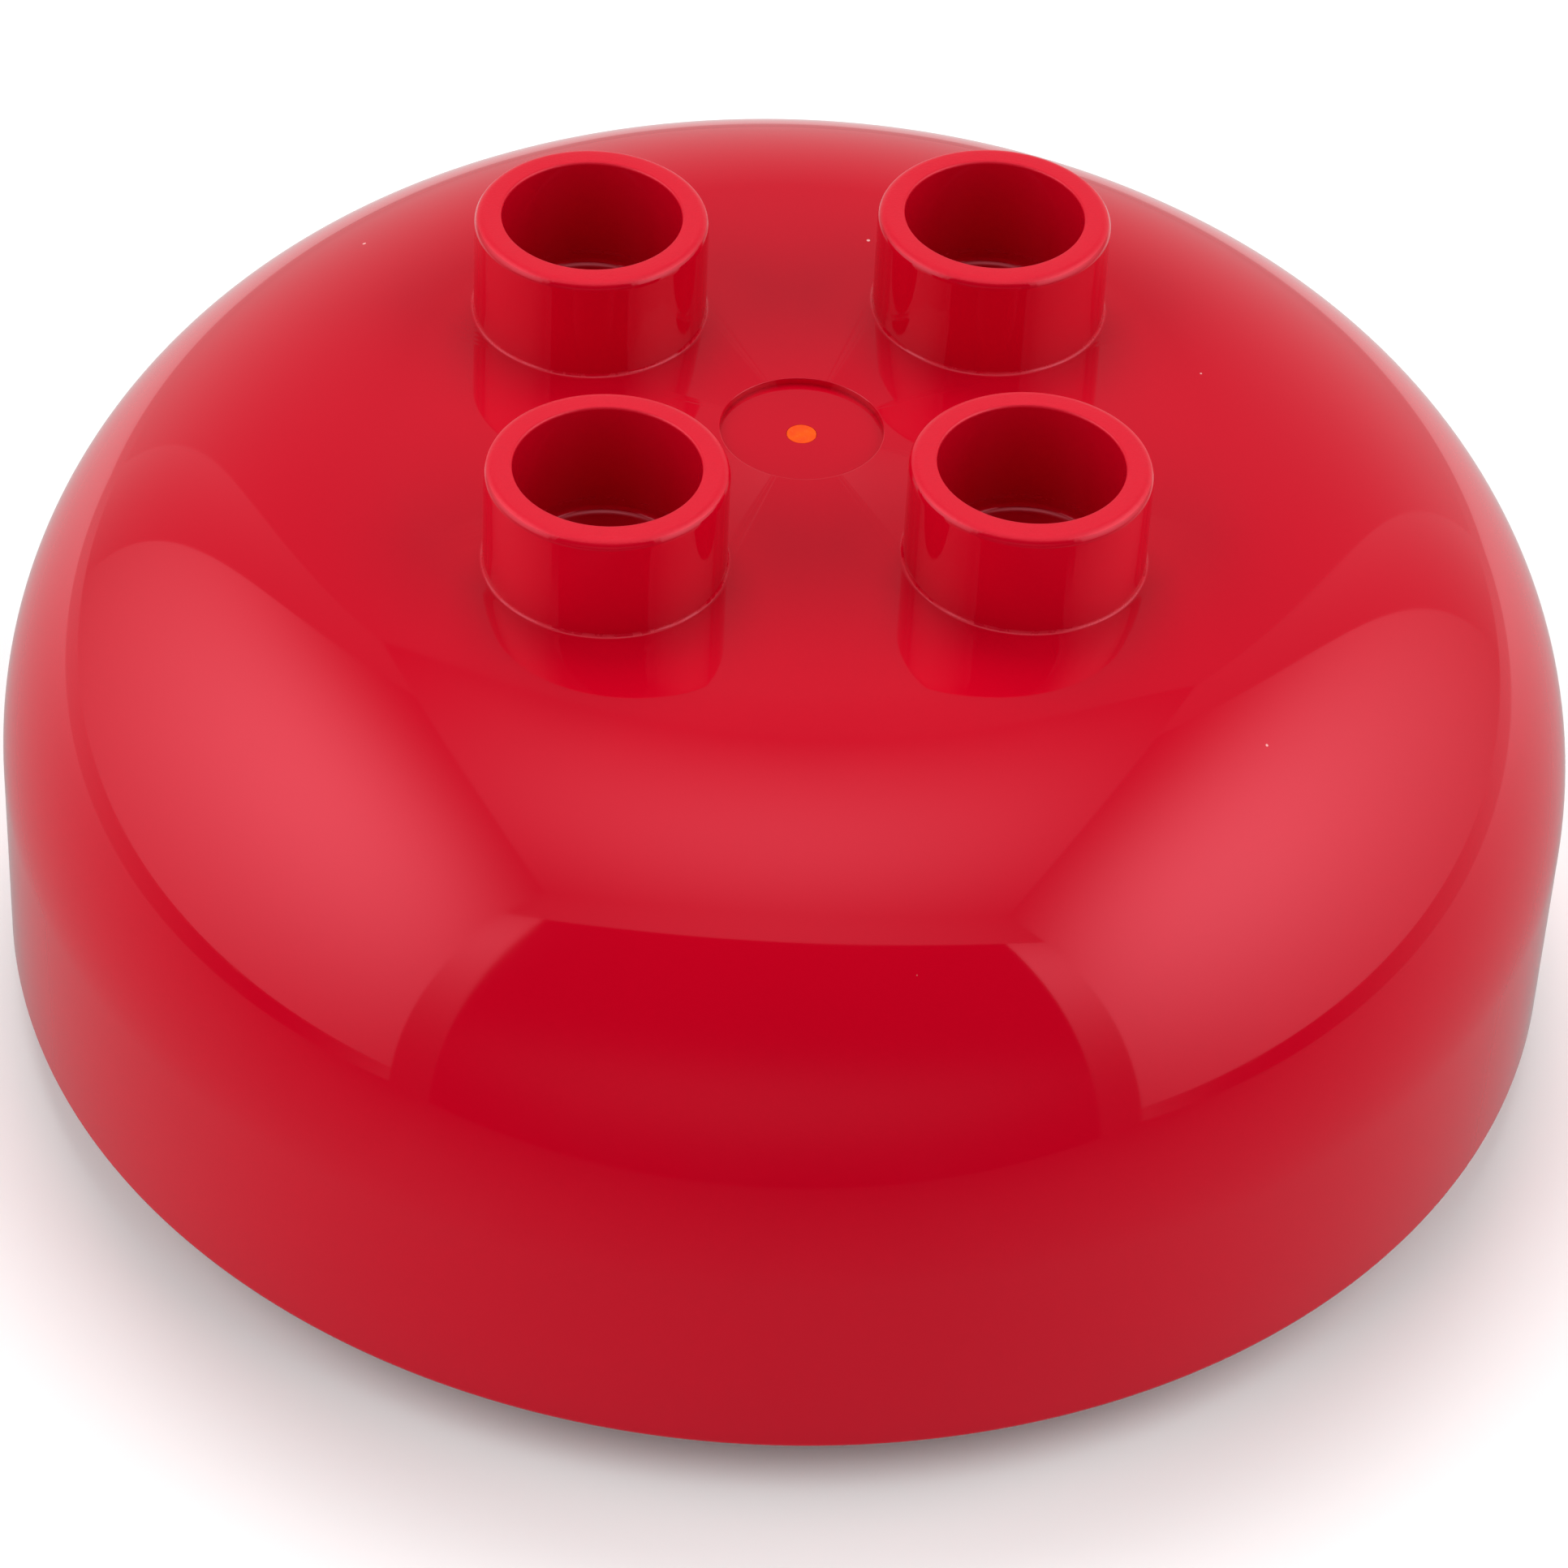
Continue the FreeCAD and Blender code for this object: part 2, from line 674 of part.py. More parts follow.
# ---------------------------------------------------------------- base: deck and tray
def base_deck():
    """Cover of the base: spring cups on guide sleeves, board stand-offs and screw bosses."""
    lip_r = tray_in_r - face_gap
    plate = turned_outline([
        (0, deck_z), (lip_r - lip_t, deck_z), (lip_r - lip_t, deck_z - lip_h), (lip_r, deck_z - lip_h),
        (lip_r, deck_z), (base_r, deck_z), (deck_edge_r, deck_top), (0, deck_top)
    ])
    boss_end = floor_top + base_boss_h
    pieces = [cyl(cup_r, cup_floor - cup_t, deck_z, x, y) for x, y in post_places]
    pieces += [cyl(sleeve_r, sleeve_end, deck_z, x, y) for x, y in post_places]
    pieces += [cyl(standoff_d / 2, board_top, deck_z, x, y) for x, y in board_screw_places]
    pieces += [cyl(base_boss_d / 2, boss_end, deck_z, x, y) for x, y in base_screw_places]
    cutters = [cyl(cup_in_r, cup_floor, deck_top + cut_over, x, y) for x, y in post_places]
    cutters += [cyl(sleeve_bore_r, sleeve_end - cut_over, deck_top, x, y) for x, y in post_places]
    cutters += [cyl(board_screw_d / 2 + thread_play, board_top - cut_over, deck_z + board_pilot_spare, x, y)
                for x, y in board_screw_places]
    cutters += [cyl(base_screw_d / 2 + thread_play, boss_end - cut_over, boss_end + base_pilot_depth, x, y)
                for x, y in base_screw_places]
    cutters.append(cyl(led_flange_d / 2 + led_opening_gap, deck_z - cut_over, deck_top + cut_over))
    half = switch_len / 2 + opening_gap
    side = switch_w / 2 + opening_gap
    cutters.append(block(-half, half, switch_y - side, switch_y + side, deck_z - cut_over,
                         deck_top + cut_over))
    return less(joined(plate, pieces), cutters)


def door_outline(clear, z0, z1):
    """The battery door's plan, drawn in by clear: a disc with an ear for each screw."""
    disc = cyl(door_recess_r - clear, z0, z1, bay_x)
    ears = [cyl(door_ear_r - clear, z0, z1, x, y) for x, y in door_ear_places]
    webs = [ear_web(x, y, clear, z0, z1) for x, y in door_ear_places]
    return joined(disc, ears + webs)


def ear_web(x, y, clear, z0, z1):
    """Straight strip from the middle of the bay out to the middle of one ear."""
    run = math.hypot(x - bay_x, y)
    half = door_ear_r - clear
    strip = block(0, run, -half, half, z0, z1)
    strip.rotate(Vector(0, 0, 0), Vector(0, 0, 1), math.degrees(math.atan2(y, x - bay_x)))
    return moved(strip, bay_x)


def speaker_holes():
    """Grille: one hole in the middle and rings of six, twelve and eighteen."""
    holes = [(speaker_x, 0.0)]
    for ring in range(1, grille_rings + 1):
        for k in range(6 * ring):
            a = 2 * math.pi * k / (6 * ring)
            holes.append((speaker_x + ring * grille_pitch * math.cos(a),
                          ring * grille_pitch * math.sin(a)))
    return [cyl(grille_hole_d / 2, foot_stand - cut_over, floor_top + cut_over, x, y) for x, y in holes]


def slide_rail(side):
    """Rail that locates one end of the slide switch."""
    near = side * (slide_len / 2 + face_gap)
    far = near + side * rail_t
    return block(min(near, far), max(near, far), slide_y - slide_w / 2, slide_y + slide_w / 2, floor_top,
                 floor_top + rail_h)


def knob_opening():
    """Slot in the tray's floor for the switch knob, with a shallow finger recess round it."""
    side = knob_w / 2 + knob_slot_gap
    slot = block(-slide_half, slide_half, slide_y - side, slide_y + side, foot_stand - cut_over,
                 floor_top + cut_over)
    wide = slide_half + finger_len
    side += finger_w
    recess = block(-wide, wide, slide_y - side, slide_y + side, foot_stand - cut_over,
                   foot_stand + finger_depth)
    return [slot, recess]


def base_tray():
    """Lower half of the base: floor, wall, battery bay, speaker seat and bosses."""
    edge = base_edge_r
    tray = turned([
        line((0, foot_stand), (base_r - edge, foot_stand)),
        arc((base_r - edge, foot_stand + edge), edge, -90, 0),
        line((base_r, foot_stand + edge), (base_r, deck_z)),
        line((base_r, deck_z), (tray_in_r, deck_z)),
        line((tray_in_r, deck_z), (tray_in_r, floor_top)),
        line((tray_in_r, floor_top), (0, floor_top)),
        line((0, floor_top), (0, foot_stand)),
    ])
    pieces = [
        cyl(bay_wall_r, foot_stand + cut_over, bay_roof_top, bay_x),
        tube(speaker_rim_r, speaker_seat_r, floor_top, floor_top + speaker_rim_h, speaker_x),
    ]
    pieces += [cyl(base_boss_d / 2, floor_top, tray_boss_end, x, y) for x, y in base_screw_places]
    pieces += [cyl(insert_d / 2 + insert_wall, floor_top, recess_top + insert_h + insert_cap, x, y)
               for x, y in door_ear_places]
    pieces += [slide_rail(side) for side in (-1, 1)]
    cutters = [door_outline(0.0, foot_stand - cut_over, recess_top),
               cyl(bay_r, recess_top - cut_over, bay_roof, bay_x)]
    cutters += [cyl(insert_d / 2, recess_top - cut_over, recess_top + insert_h, x, y)
                for x, y in door_ear_places]
    cutters += [cyl(foot_d / 2 + face_gap, foot_stand - cut_over, foot_stand + foot_recess, x, y)
                for x, y in foot_places]
    cutters += [cyl(base_screw_head_d / 2 + head_gap, foot_stand - cut_over, base_screw_seat, x, y)
                for x, y in base_screw_places]
    cutters += [cyl(base_screw_d / 2 + face_gap, foot_stand, deck_z, x, y) for x, y in base_screw_places]
    cutters += knob_opening()
    cutters += speaker_holes()
    cutters += [negative_slot(), positive_slot()]
    return less(joined(tray, pieces), cutters)


def base_screws():
    screw = pan_screw(base_screw_head_d, base_screw_head_t, base_screw_d, base_screw_len)
    low = base_screw_seat - base_screw_head_t
    return group(moved(screw, x, y, low) for x, y in base_screw_places)


def rubber_feet():
    r = foot_d / 2
    top = foot_stand + foot_recess
    foot = turned([
        line((0, 0), (r - foot_edge_r, 0)),
        arc((r - foot_edge_r, foot_edge_r), foot_edge_r, -90, 0),
        line((r, foot_edge_r), (r, top)),
        line((r, top), (0, top)),
        line((0, top), (0, 0)),
    ])
    return group(moved(foot, x, y) for x, y in foot_places)


def damper_ring():
    """Foam ring on the deck that the stop ribs land on."""
    return tube(damper_in_r + damper_w, damper_in_r, deck_top, deck_top + damper_t)


# ---------------------------------------------------------------- battery bay
def battery_door():
    """Door with a pad that holds the cell up, two countersunk ears and grooves for a fingernail."""
    pad = cyl(door_pad_d / 2, door_top, cell_z, bay_x)
    door = joined(door_outline(door_gap, foot_stand, door_top), [pad])
    cutters = [cyl(door_screw_head_d / 2 + face_gap, foot_stand - cut_over,
                   foot_stand + door_screw_head_t, x, y) for x, y in door_ear_places]
    cutters += [cyl(door_screw_d / 2 + face_gap, foot_stand, cell_z, x, y) for x, y in door_ear_places]
    for k in range(grip_count):
        near = bay_x + grip_start + k * grip_pitch
        cutters.append(block(near, near + grip_w, -grip_len / 2, grip_len / 2, foot_stand - cut_over,
                             foot_stand + grip_depth))
    return less(door, cutters)


def door_screws():
    screw = pan_screw(door_screw_head_d, door_screw_head_t, door_screw_d, door_screw_len, door_screw_tip)
    return group(moved(screw, x, y, foot_stand) for x, y in door_ear_places)


def door_inserts():
    """Brass inserts in the tray that the door screws run into."""
    hole = door_screw_d / 2 + insert_bore_gap
    return group(tube(insert_d / 2, hole, recess_top, recess_top + insert_h, x, y)
                 for x, y in door_ear_places)


def coin_cell():
    """Can with a narrower raised face upwards."""
    r = cell_d / 2
    step = cell_top - cell_step
    face_r = r - cell_face_inset
    return moved(turned_outline([
        (0, cell_z), (r - cell_edge, cell_z), (r, cell_z + cell_edge), (r, step - cell_edge),
        (r - cell_edge, step), (face_r, step), (face_r - cell_face_slope, cell_top), (0, cell_top)
    ]), bay_x)


def negative_slot():
    """Slot in the bay roof for the cell-face contact's tab."""
    side = tab_w / 2 + tab_slot_gap
    return block(negative_tab_x - opening_gap, negative_tab_x + opening_gap, -side, side,
                 bay_roof - cut_over, bay_roof_top + cut_over)


def positive_slot():
    """Slot up the bay wall and through the roof for the rim contact."""
    side = tab_w / 2 + tab_slot_gap
    wall = bay_x + bay_r
    return block(wall - 2 * opening_gap, wall + contact_t + 2 * tab_slot_gap, -side, side, cell_z,
                 bay_roof_top + cut_over)


def battery_contact_negative():
    """Leaf under the roof that bears on the cell's raised face, with a solder tab above the roof."""
    t = contact_t
    side = tab_w / 2
    leaf_top = bay_roof - contact_roof_gap
    toe_low = cell_top + contact_cell_gap
    bend_x = bay_x - leaf_bend
    tab = block(negative_tab_x - t / 2, negative_tab_x + t / 2, -side, side, leaf_top - t,
                bay_roof_top + tab_above)
    leaf = block(negative_tab_x, bend_x, -side, side, leaf_top - t, leaf_top)
    bend = block(bend_x - t, bend_x, -side, side, toe_low, leaf_top)
    toe = block(bend_x - t, bay_x + leaf_toe, -side, side, toe_low, toe_low + t)
    return joined(tab, [leaf, bend, toe])


def battery_contact_positive():
    """Strip up the bay wall that bears on the cell's rim, with a solder tab above the roof."""
    t = contact_t
    side = tab_w / 2
    wall = bay_x + bay_r
    nose_x = bay_x + cell_d / 2 + nose_gap
    low = cell_z + nose_low
    strip = block(wall, wall + t, -side, side, cell_z + strip_lift, bay_roof_top + tab_above)
    nose = block(nose_x, wall + t, -side, side, low, low + nose_h)
    hollow = block(nose_x + t, wall, -side - cut_over, side + cut_over, low + t, low + nose_h - t)
    return joined(strip, [nose.cut(hollow)])


# ---------------------------------------------------------------- speaker
def speaker_gasket():
    r = speaker_d / 2
    return tube(r, r - speaker_gasket_w, floor_top, floor_top + speaker_gasket_t, speaker_x)


def speaker_frame():
    """Pressed basket: flange, stepped cup with six vents, and a tag strip for the wires."""
    t = speaker_sheet_t
    cup_r = speaker_basket_d / 2
    hub_r = speaker_magnet_d / 2 - speaker_hub_overlap
    frame = turned_outline([
        (hub_r, magnet_z - t), (cup_r - t, magnet_z - t), (cup_r - t, speaker_z), (speaker_d / 2, speaker_z),
        (speaker_d / 2, basket_z), (cup_r, basket_z), (cup_r, magnet_z), (hub_r, magnet_z)
    ])
    vents = [cyl(speaker_vent_d / 2, magnet_z - cut_over, magnet_z + cut_over,
                 speaker_vent_r * math.cos(math.radians(a)), speaker_vent_r * math.sin(math.radians(a)))
             for a in range(0, 360, 60)]
    tag = block(-tag_len / 2, tag_len / 2, tag_y, tag_y + tag_w, magnet_z, magnet_z + tag_t)
    return moved(joined(less(frame, vents), [tag]), speaker_x)


def speaker_cone():
    """Thin ribbed diaphragm with a domed middle."""
    z = speaker_z + cone_lift
    rim = speaker_basket_d / 2 - cone_margin
    outline = [(0, z + 0.55), (1.6, z + 0.45), (3.2, z), (4.2, z + 0.35), (5.2, z), (6.2, z + 0.35),
               (7.2, z), (rim, z + 0.1)]
    back = [(r, h + cone_t) for r, h in reversed(outline)]
    return moved(turned_outline(outline + back), speaker_x)


def speaker_magnet():
    """Magnet with a chamfered edge and a shallow hole over its pole."""
    r = speaker_magnet_d / 2
    top = magnet_z + speaker_magnet_h
    edge = speaker_magnet_edge
    pole_r = speaker_pole_d / 2
    return moved(turned_outline([
        (0, magnet_z), (r, magnet_z), (r, top - edge), (r - edge, top), (pole_r, top),
        (pole_r, top - speaker_pole_depth), (0, top - speaker_pole_depth)
    ]), speaker_x)


# ---------------------------------------------------------------- circuit board
def circuit_board():
    """Round board with clearance holes for its screws and plated holes for the leads."""
    leads = [(s * led_lead_pitch / 2, 0.0) for s in (-1, 1)]
    leads += [(x, switch_y) for x in terminal_xs]
    leads += [(can_place[0] + s * can_lead_pitch / 2, can_place[1]) for s in (-1, 1)]
    holes = [cyl(board_screw_d / 2 + board_hole_gap, board_z - cut_over, board_top + cut_over, x, y)
             for x, y in board_screw_places]
    holes += [cyl(lead_hole_d / 2, board_z - cut_over, board_top + cut_over, x, y) for x, y in leads]
    return less(cyl(board_r, board_z, board_top), holes)


def board_screws():
    screw = pan_screw(board_screw_head_d, board_screw_head_t, board_screw_d, board_t + board_screw_bite,
                      board_screw_tip)
    return group(moved(screw, x, y, board_z - board_screw_head_t) for x, y in board_screw_places)


def indicator_led():
    """Amber lamp with a flange and a domed end."""
    r = led_d / 2
    flange_r = led_flange_d / 2
    flange_top = board_top + led_flange_t
    edges = [
        line((0, board_top), (flange_r, board_top)),
        line((flange_r, board_top), (flange_r, flange_top)),
        line((flange_r, flange_top), (r, flange_top)),
        line((r, flange_top), (r, led_top - r)),
        arc((0, led_top - r), r, 0, 90),
        line((0, led_top), (0, board_top)),
    ]
    return turned(edges)


def led_leads():
    return group(cyl(lead_d / 2, lead_end, board_top, s * led_lead_pitch / 2) for s in (-1, 1))


def sound_chip():
    """Chip body with a shallow round mark over its first leg."""
    x, y = chip_place
    half, side = chip_len / 2, chip_w / 2
    top = board_top + chip_top
    body = block(x - half, x + half, y - side, y + side, board_top + chip_stand, top)
    mark = cyl(chip_mark_d / 2, top - chip_mark_depth, top + cut_over, x - half + chip_mark_inset,
               y - side + chip_mark_inset)
    return body.cut(mark)


def gull_wing_leg(x, y, side):
    """One leg: out of the chip's side, down, and out along the board."""
    near = y + side * chip_w / 2
    knee = near + side * leg_knee
    inner = knee - side * leg_t
    far = near + side * leg_reach
    rise = board_top + leg_rise
    low, high = x - leg_w / 2, x + leg_w / 2
    top = block(low, high, min(near, knee), max(near, knee), rise - leg_t, rise)
    drop = block(low, high, min(knee, inner), max(knee, inner), board_top, rise)
    toe = block(low, high, min(inner, far), max(inner, far), board_top, board_top + leg_t)
    return joined(top, [drop, toe])


def sound_chip_legs():
    x, y = chip_place
    return group(gull_wing_leg(x + (k - 1.5) * chip_pitch, y, side) for side in (-1, 1) for k in range(4))


def chip_row(places, height):
    half, side = small_len / 2, small_w / 2
    return group(block(x - half, x + half, y - side, y + side, board_top, board_top + height)
                 for x, y in places)


def smd_resistors():
    return chip_row(resistor_places, resistor_h)


def smd_capacitors():
    return chip_row(capacitor_places, capacitor_h)


def driver_transistor():
    """Small three-leg transistor that drives the speaker."""
    x, y = transistor_place
    half, side = transistor_len / 2, transistor_w / 2
    low = board_top + transistor_stand
    body = block(x - half, x + half, y - side, y + side, low, low + transistor_h)
    legs = []
    for leg_x, way in ((x - transistor_leg_x, -1), (x + transistor_leg_x, -1), (x, 1)):
        inner = y + way * (side - leg_t)
        outer = y + way * (side + transistor_leg_reach)
        legs.append(block(leg_x - leg_w / 2, leg_x + leg_w / 2, min(inner, outer), max(inner, outer),
                          board_top, board_top + transistor_leg_t))
    return joined(body, legs)


def smoothing_capacitor():
    """Electrolytic can that hangs under the board between the speaker and the battery bay."""
    r = can_d / 2
    top = board_z - face_gap
    low = top - can_h
    neck = top - can_neck
    can = turned_outline([
        (0, low), (r - can_edge, low), (r, low + can_edge), (r, neck - can_groove), (r - can_groove, neck),
        (r, neck + can_groove), (r, top), (0, top)
    ])
    return moved(can, *can_place)


def capacitor_leads():
    x, y = can_place
    low, high = board_z - face_gap, board_top + can_lead_above
    return group(cyl(lead_d / 2, low, high, x + s * can_lead_pitch / 2, y) for s in (-1, 1))


# ---------------------------------------------------------------- lever switch
def across(r, length, x, z):
    """Cylinder along Y, centred on the switch."""
    return Part.makeCylinder(r, length, Vector(x, switch_y - length / 2, z), Vector(0, 1, 0))


def pivot_ear(side):
    """Ear beside the lever that holds one of its pivot stubs."""
    near = switch_y + side * (lever_w / 2 + ear_gap)
    far = near + side * ear_t
    return block(pivot_x - ear_len / 2, pivot_x + ear_len / 2, min(near, far), max(near, far), switch_top,
                 pivot_z + ear_over)


def switch_case():
    """Moulded case with two mounting holes and a pair of ears that hold the lever's pivot."""
    case = block(-switch_len / 2, switch_len / 2, switch_y - switch_w / 2, switch_y + switch_w / 2,
                 board_top, switch_top)
    cutters = [across(switch_hole_d / 2, switch_w + 2 * cut_over, s * switch_hole_pitch / 2,
                      board_top + switch_hole_z) for s in (-1, 1)]
    cutters.append(across(pivot_hole_d / 2, switch_w, pivot_x, pivot_z))
    half = pin_len / 2 + face_gap
    side = pin_w / 2 + face_gap
    cutters.append(block(pin_x - half, pin_x + half, switch_y - side, switch_y + side,
                         switch_top - pin_hole_depth, switch_top + cut_over))
    return less(joined(case, [pivot_ear(side) for side in (-1, 1)]), cutters)


def switch_terminals():
    return group(cyl(lead_d / 2, lead_end, board_top, x, switch_y) for x in terminal_xs)


def switch_lever():
    """Sheet lever with pivot stubs, tilted up at rest."""
    strip = block(-lever_heel, lever_arm + lever_past, -lever_w / 2, lever_w / 2, -lever_t / 2, lever_t / 2)
    reach = lever_w / 2 + stub_out
    stub = Part.makeCylinder(stub_d / 2, 2 * reach, Vector(0, -reach, 0), Vector(0, 1, 0))
    lever = joined(strip, [stub])
    lever.Placement = FreeCAD.Placement(Vector(pivot_x, switch_y, pivot_z),
                                        Rotation(Vector(0, 1, 0), -math.degrees(lever_tilt)))
    return lever


def switch_pin():
    """Plunger under the lever."""
    lever_under = pivot_z + pin_arm * math.tan(lever_tilt) - lever_t / 2 / math.cos(lever_tilt)
    top = lever_under - pin_lever_gap
    half, side = pin_len / 2, pin_w / 2
    pin = block(pin_x - half, pin_x + half, switch_y - side, switch_y + side, switch_top - pin_sunk, top)
    return pin.makeFillet(pin_edge_r, [e for e in pin.Edges if e.BoundBox.ZMin > top - face_gap])


# ---------------------------------------------------------------- power slide switch
def power_switch_case():
    """Folded metal can with an open slot underneath for the knob."""
    case = block(-slide_len / 2, slide_len / 2, slide_y - slide_w / 2, slide_y + slide_w / 2, floor_top,
                 slide_top)
    side = knob_w / 2 + shoe_gap
    slot = block(-slide_half, slide_half, slide_y - side, slide_y + side, floor_top - cut_over,
                 floor_top + slide_room_h)
    half = slide_half + shoe_side + opening_gap
    side = slide_w / 2 - slide_wall
    room = block(-half, half, slide_y - side, slide_y + side, floor_top + slide_wall,
                 floor_top + slide_room_h)
    return less(case, [slot, room])


def power_switch_slider():
    """Knob that reaches down through the floor, with a wider shoe held inside the can."""
    x = -slide_travel / 2
    half = knob_len / 2
    end = foot_stand + knob_sunk
    top = floor_top + knob_top
    knob = block(x - half, x + half, slide_y - knob_w / 2, slide_y + knob_w / 2, end, top)
    side = slide_w / 2 - slide_wall - shoe_gap
    shoe = block(x - half - shoe_side, x + half + shoe_side, slide_y - side, slide_y + side,
                 floor_top + slide_wall + shoe_gap, top)
    grooves = [block(x + k * groove_pitch - groove_w / 2, x + k * groove_pitch + groove_w / 2,
                     slide_y - knob_w, slide_y + knob_w, end - cut_over, end + groove_depth)
               for k in (-1, 0, 1)]
    return less(joined(knob, [shoe]), grooves)


def power_switch_terminals():
    return group(cyl(lead_d / 2, slide_top, slide_top + slide_pin_len, k * slide_pin_pitch, slide_y)
                 for k in (-1, 0, 1))


# ---------------------------------------------------------------- wiring
def speaker_wire(side):
    """From one end of the speaker's tag strip up to the board."""
    x = speaker_x + side * speaker_wire_x
    z = magnet_z + tag_t
    pad_x = x + speaker_wire_out[0]
    pad_y = solder_y + speaker_wire_out[1]
    return wire_run([(x, solder_y, z), (x, solder_y, z + speaker_wire_rise),
                     (pad_x, pad_y, board_z - board_wire_drop), (pad_x, pad_y, board_z)])


def battery_wire(tab_x):
    """From the side of a contact's tab, over the bay roof, up to the board."""
    z = bay_roof_top + wire_d / 2 + wire_lay
    pad_x = min(tab_x, board_r - battery_pad_inset)
    start_y = tab_w / 2
    return wire_run([(tab_x, start_y, z), (tab_x, start_y + battery_wire_out, z),
                     (pad_x, battery_wire_y, z + battery_wire_climb), (pad_x, battery_wire_y, board_z)])


def power_wire(pin, pad_x):
    """From a slide switch terminal over to the board's edge."""
    x = pin * slide_pin_pitch
    z = slide_top + slide_pin_len
    pad_y = power_pad_inset - board_r
    return wire_run([(x, slide_y, z), (x, slide_y, z + power_wire_rise),
                     (pad_x, pad_y, board_z - power_wire_rise), (pad_x, pad_y, board_z)])


# ---------------------------------------------------------------- export
parts = {
    "button_shell": button_shell(),
    "light_pipe": light_pipe(),
    "guide_screws": guide_screws(),
    "guide_washers": guide_washers(),
    "base_deck": base_deck(),
    "base_tray": base_tray(),
    "base_screws": base_screws(),
    "rubber_feet": rubber_feet(),
    "damper_ring": damper_ring(),
    "battery_door": battery_door(),
    "door_screws": door_screws(),
    "door_inserts": door_inserts(),
    "coin_cell": coin_cell(),
    "battery_contact_negative": battery_contact_negative(),
    "battery_contact_positive": battery_contact_positive(),
    "speaker_gasket": speaker_gasket(),
    "speaker_frame": speaker_frame(),
    "speaker_cone": speaker_cone(),
    "speaker_magnet": speaker_magnet(),
    "circuit_board": circuit_board(),
    "board_screws": board_screws(),
    "indicator_led": indicator_led(),
    "led_leads": led_leads(),
    "sound_chip": sound_chip(),
    "sound_chip_legs": sound_chip_legs(),
    "smd_resistors": smd_resistors(),
    "smd_capacitors": smd_capacitors(),
    "driver_transistor": driver_transistor(),
    "smoothing_capacitor": smoothing_capacitor(),
    "capacitor_leads": capacitor_leads(),
    "switch_case": switch_case(),
    "switch_terminals": switch_terminals(),
    "switch_lever": switch_lever(),
    "switch_pin": switch_pin(),
    "power_switch_case": power_switch_case(),
    "power_switch_slider": power_switch_slider(),
    "power_switch_terminals": power_switch_terminals(),
    "speaker_wire_red": speaker_wire(-1),
    "speaker_wire_black": speaker_wire(1),
    "battery_wire_black": battery_wire(negative_tab_x),
    "battery_wire_red": battery_wire(positive_tab_x + contact_t),
    "power_wire_in": power_wire(-1, -3.2),
    "power_wire_out": power_wire(0, 0.8),
}
spring_names = ["front_left", "rear_left", "front_right", "rear_right"]
for name, (x, y) in zip(spring_names, post_places):
    parts["return_spring_" + name] = return_spring(x, y)

os.makedirs("parts", exist_ok=True)
for name, shape in parts.items():
    solids = shape.Solids
    sound = shape.isValid() and all(s.isClosed() and s.Volume > 0 for s in solids)
    print(name, "solids", len(solids), "volume", round(sum(s.Volume for s in solids), 2),
          "" if sound else "NOT SOUND")
    shape.exportStep("parts/" + name + ".step")
print("wire bend radii", bend_radii)
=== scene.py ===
import json
import math

import bmesh
import bpy
from mathutils import Matrix, Vector


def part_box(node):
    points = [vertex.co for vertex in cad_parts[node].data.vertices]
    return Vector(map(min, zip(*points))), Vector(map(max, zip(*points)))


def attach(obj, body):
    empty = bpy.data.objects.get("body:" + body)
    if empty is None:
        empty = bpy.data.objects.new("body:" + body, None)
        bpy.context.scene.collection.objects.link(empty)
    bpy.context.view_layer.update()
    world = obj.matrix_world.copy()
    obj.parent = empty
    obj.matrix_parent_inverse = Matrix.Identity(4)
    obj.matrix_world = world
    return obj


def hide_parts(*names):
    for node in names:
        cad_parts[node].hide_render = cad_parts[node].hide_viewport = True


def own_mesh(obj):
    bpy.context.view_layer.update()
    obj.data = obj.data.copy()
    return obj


# A quiz buzzer: one glossy red shell with four hollow studs, which is itself the push button, over a dark
# base. Metres, +Z up, the front looks towards -Y. Sizes that the frame doesn't give are named in millimetres.

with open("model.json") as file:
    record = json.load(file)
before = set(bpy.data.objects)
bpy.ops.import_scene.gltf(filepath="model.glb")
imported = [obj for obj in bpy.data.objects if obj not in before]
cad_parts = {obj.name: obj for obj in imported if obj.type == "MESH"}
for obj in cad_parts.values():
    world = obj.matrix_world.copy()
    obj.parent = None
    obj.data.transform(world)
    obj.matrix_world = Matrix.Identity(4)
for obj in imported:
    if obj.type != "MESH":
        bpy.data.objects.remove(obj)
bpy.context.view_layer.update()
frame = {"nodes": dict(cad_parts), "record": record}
nodes = frame["nodes"]
MM = 0.001


# ---------------------------------------------------------------- camera
VIEW_AZIMUTH = -5.502
VIEW_ELEVATION = 39.492
VIEW_ROLL = 3.081
VIEW_DISTANCE = 239.38 * MM
VIEW_LENS = 137.31
VIEW_SENSOR = 36.0
VIEW_SHIFT = (-0.0053, -0.1139)
VIEW_CLIP = (0.01, 20.0)
VIEW_HEIGHT = 15.0 * MM        # the point looked at, above the shell's rim


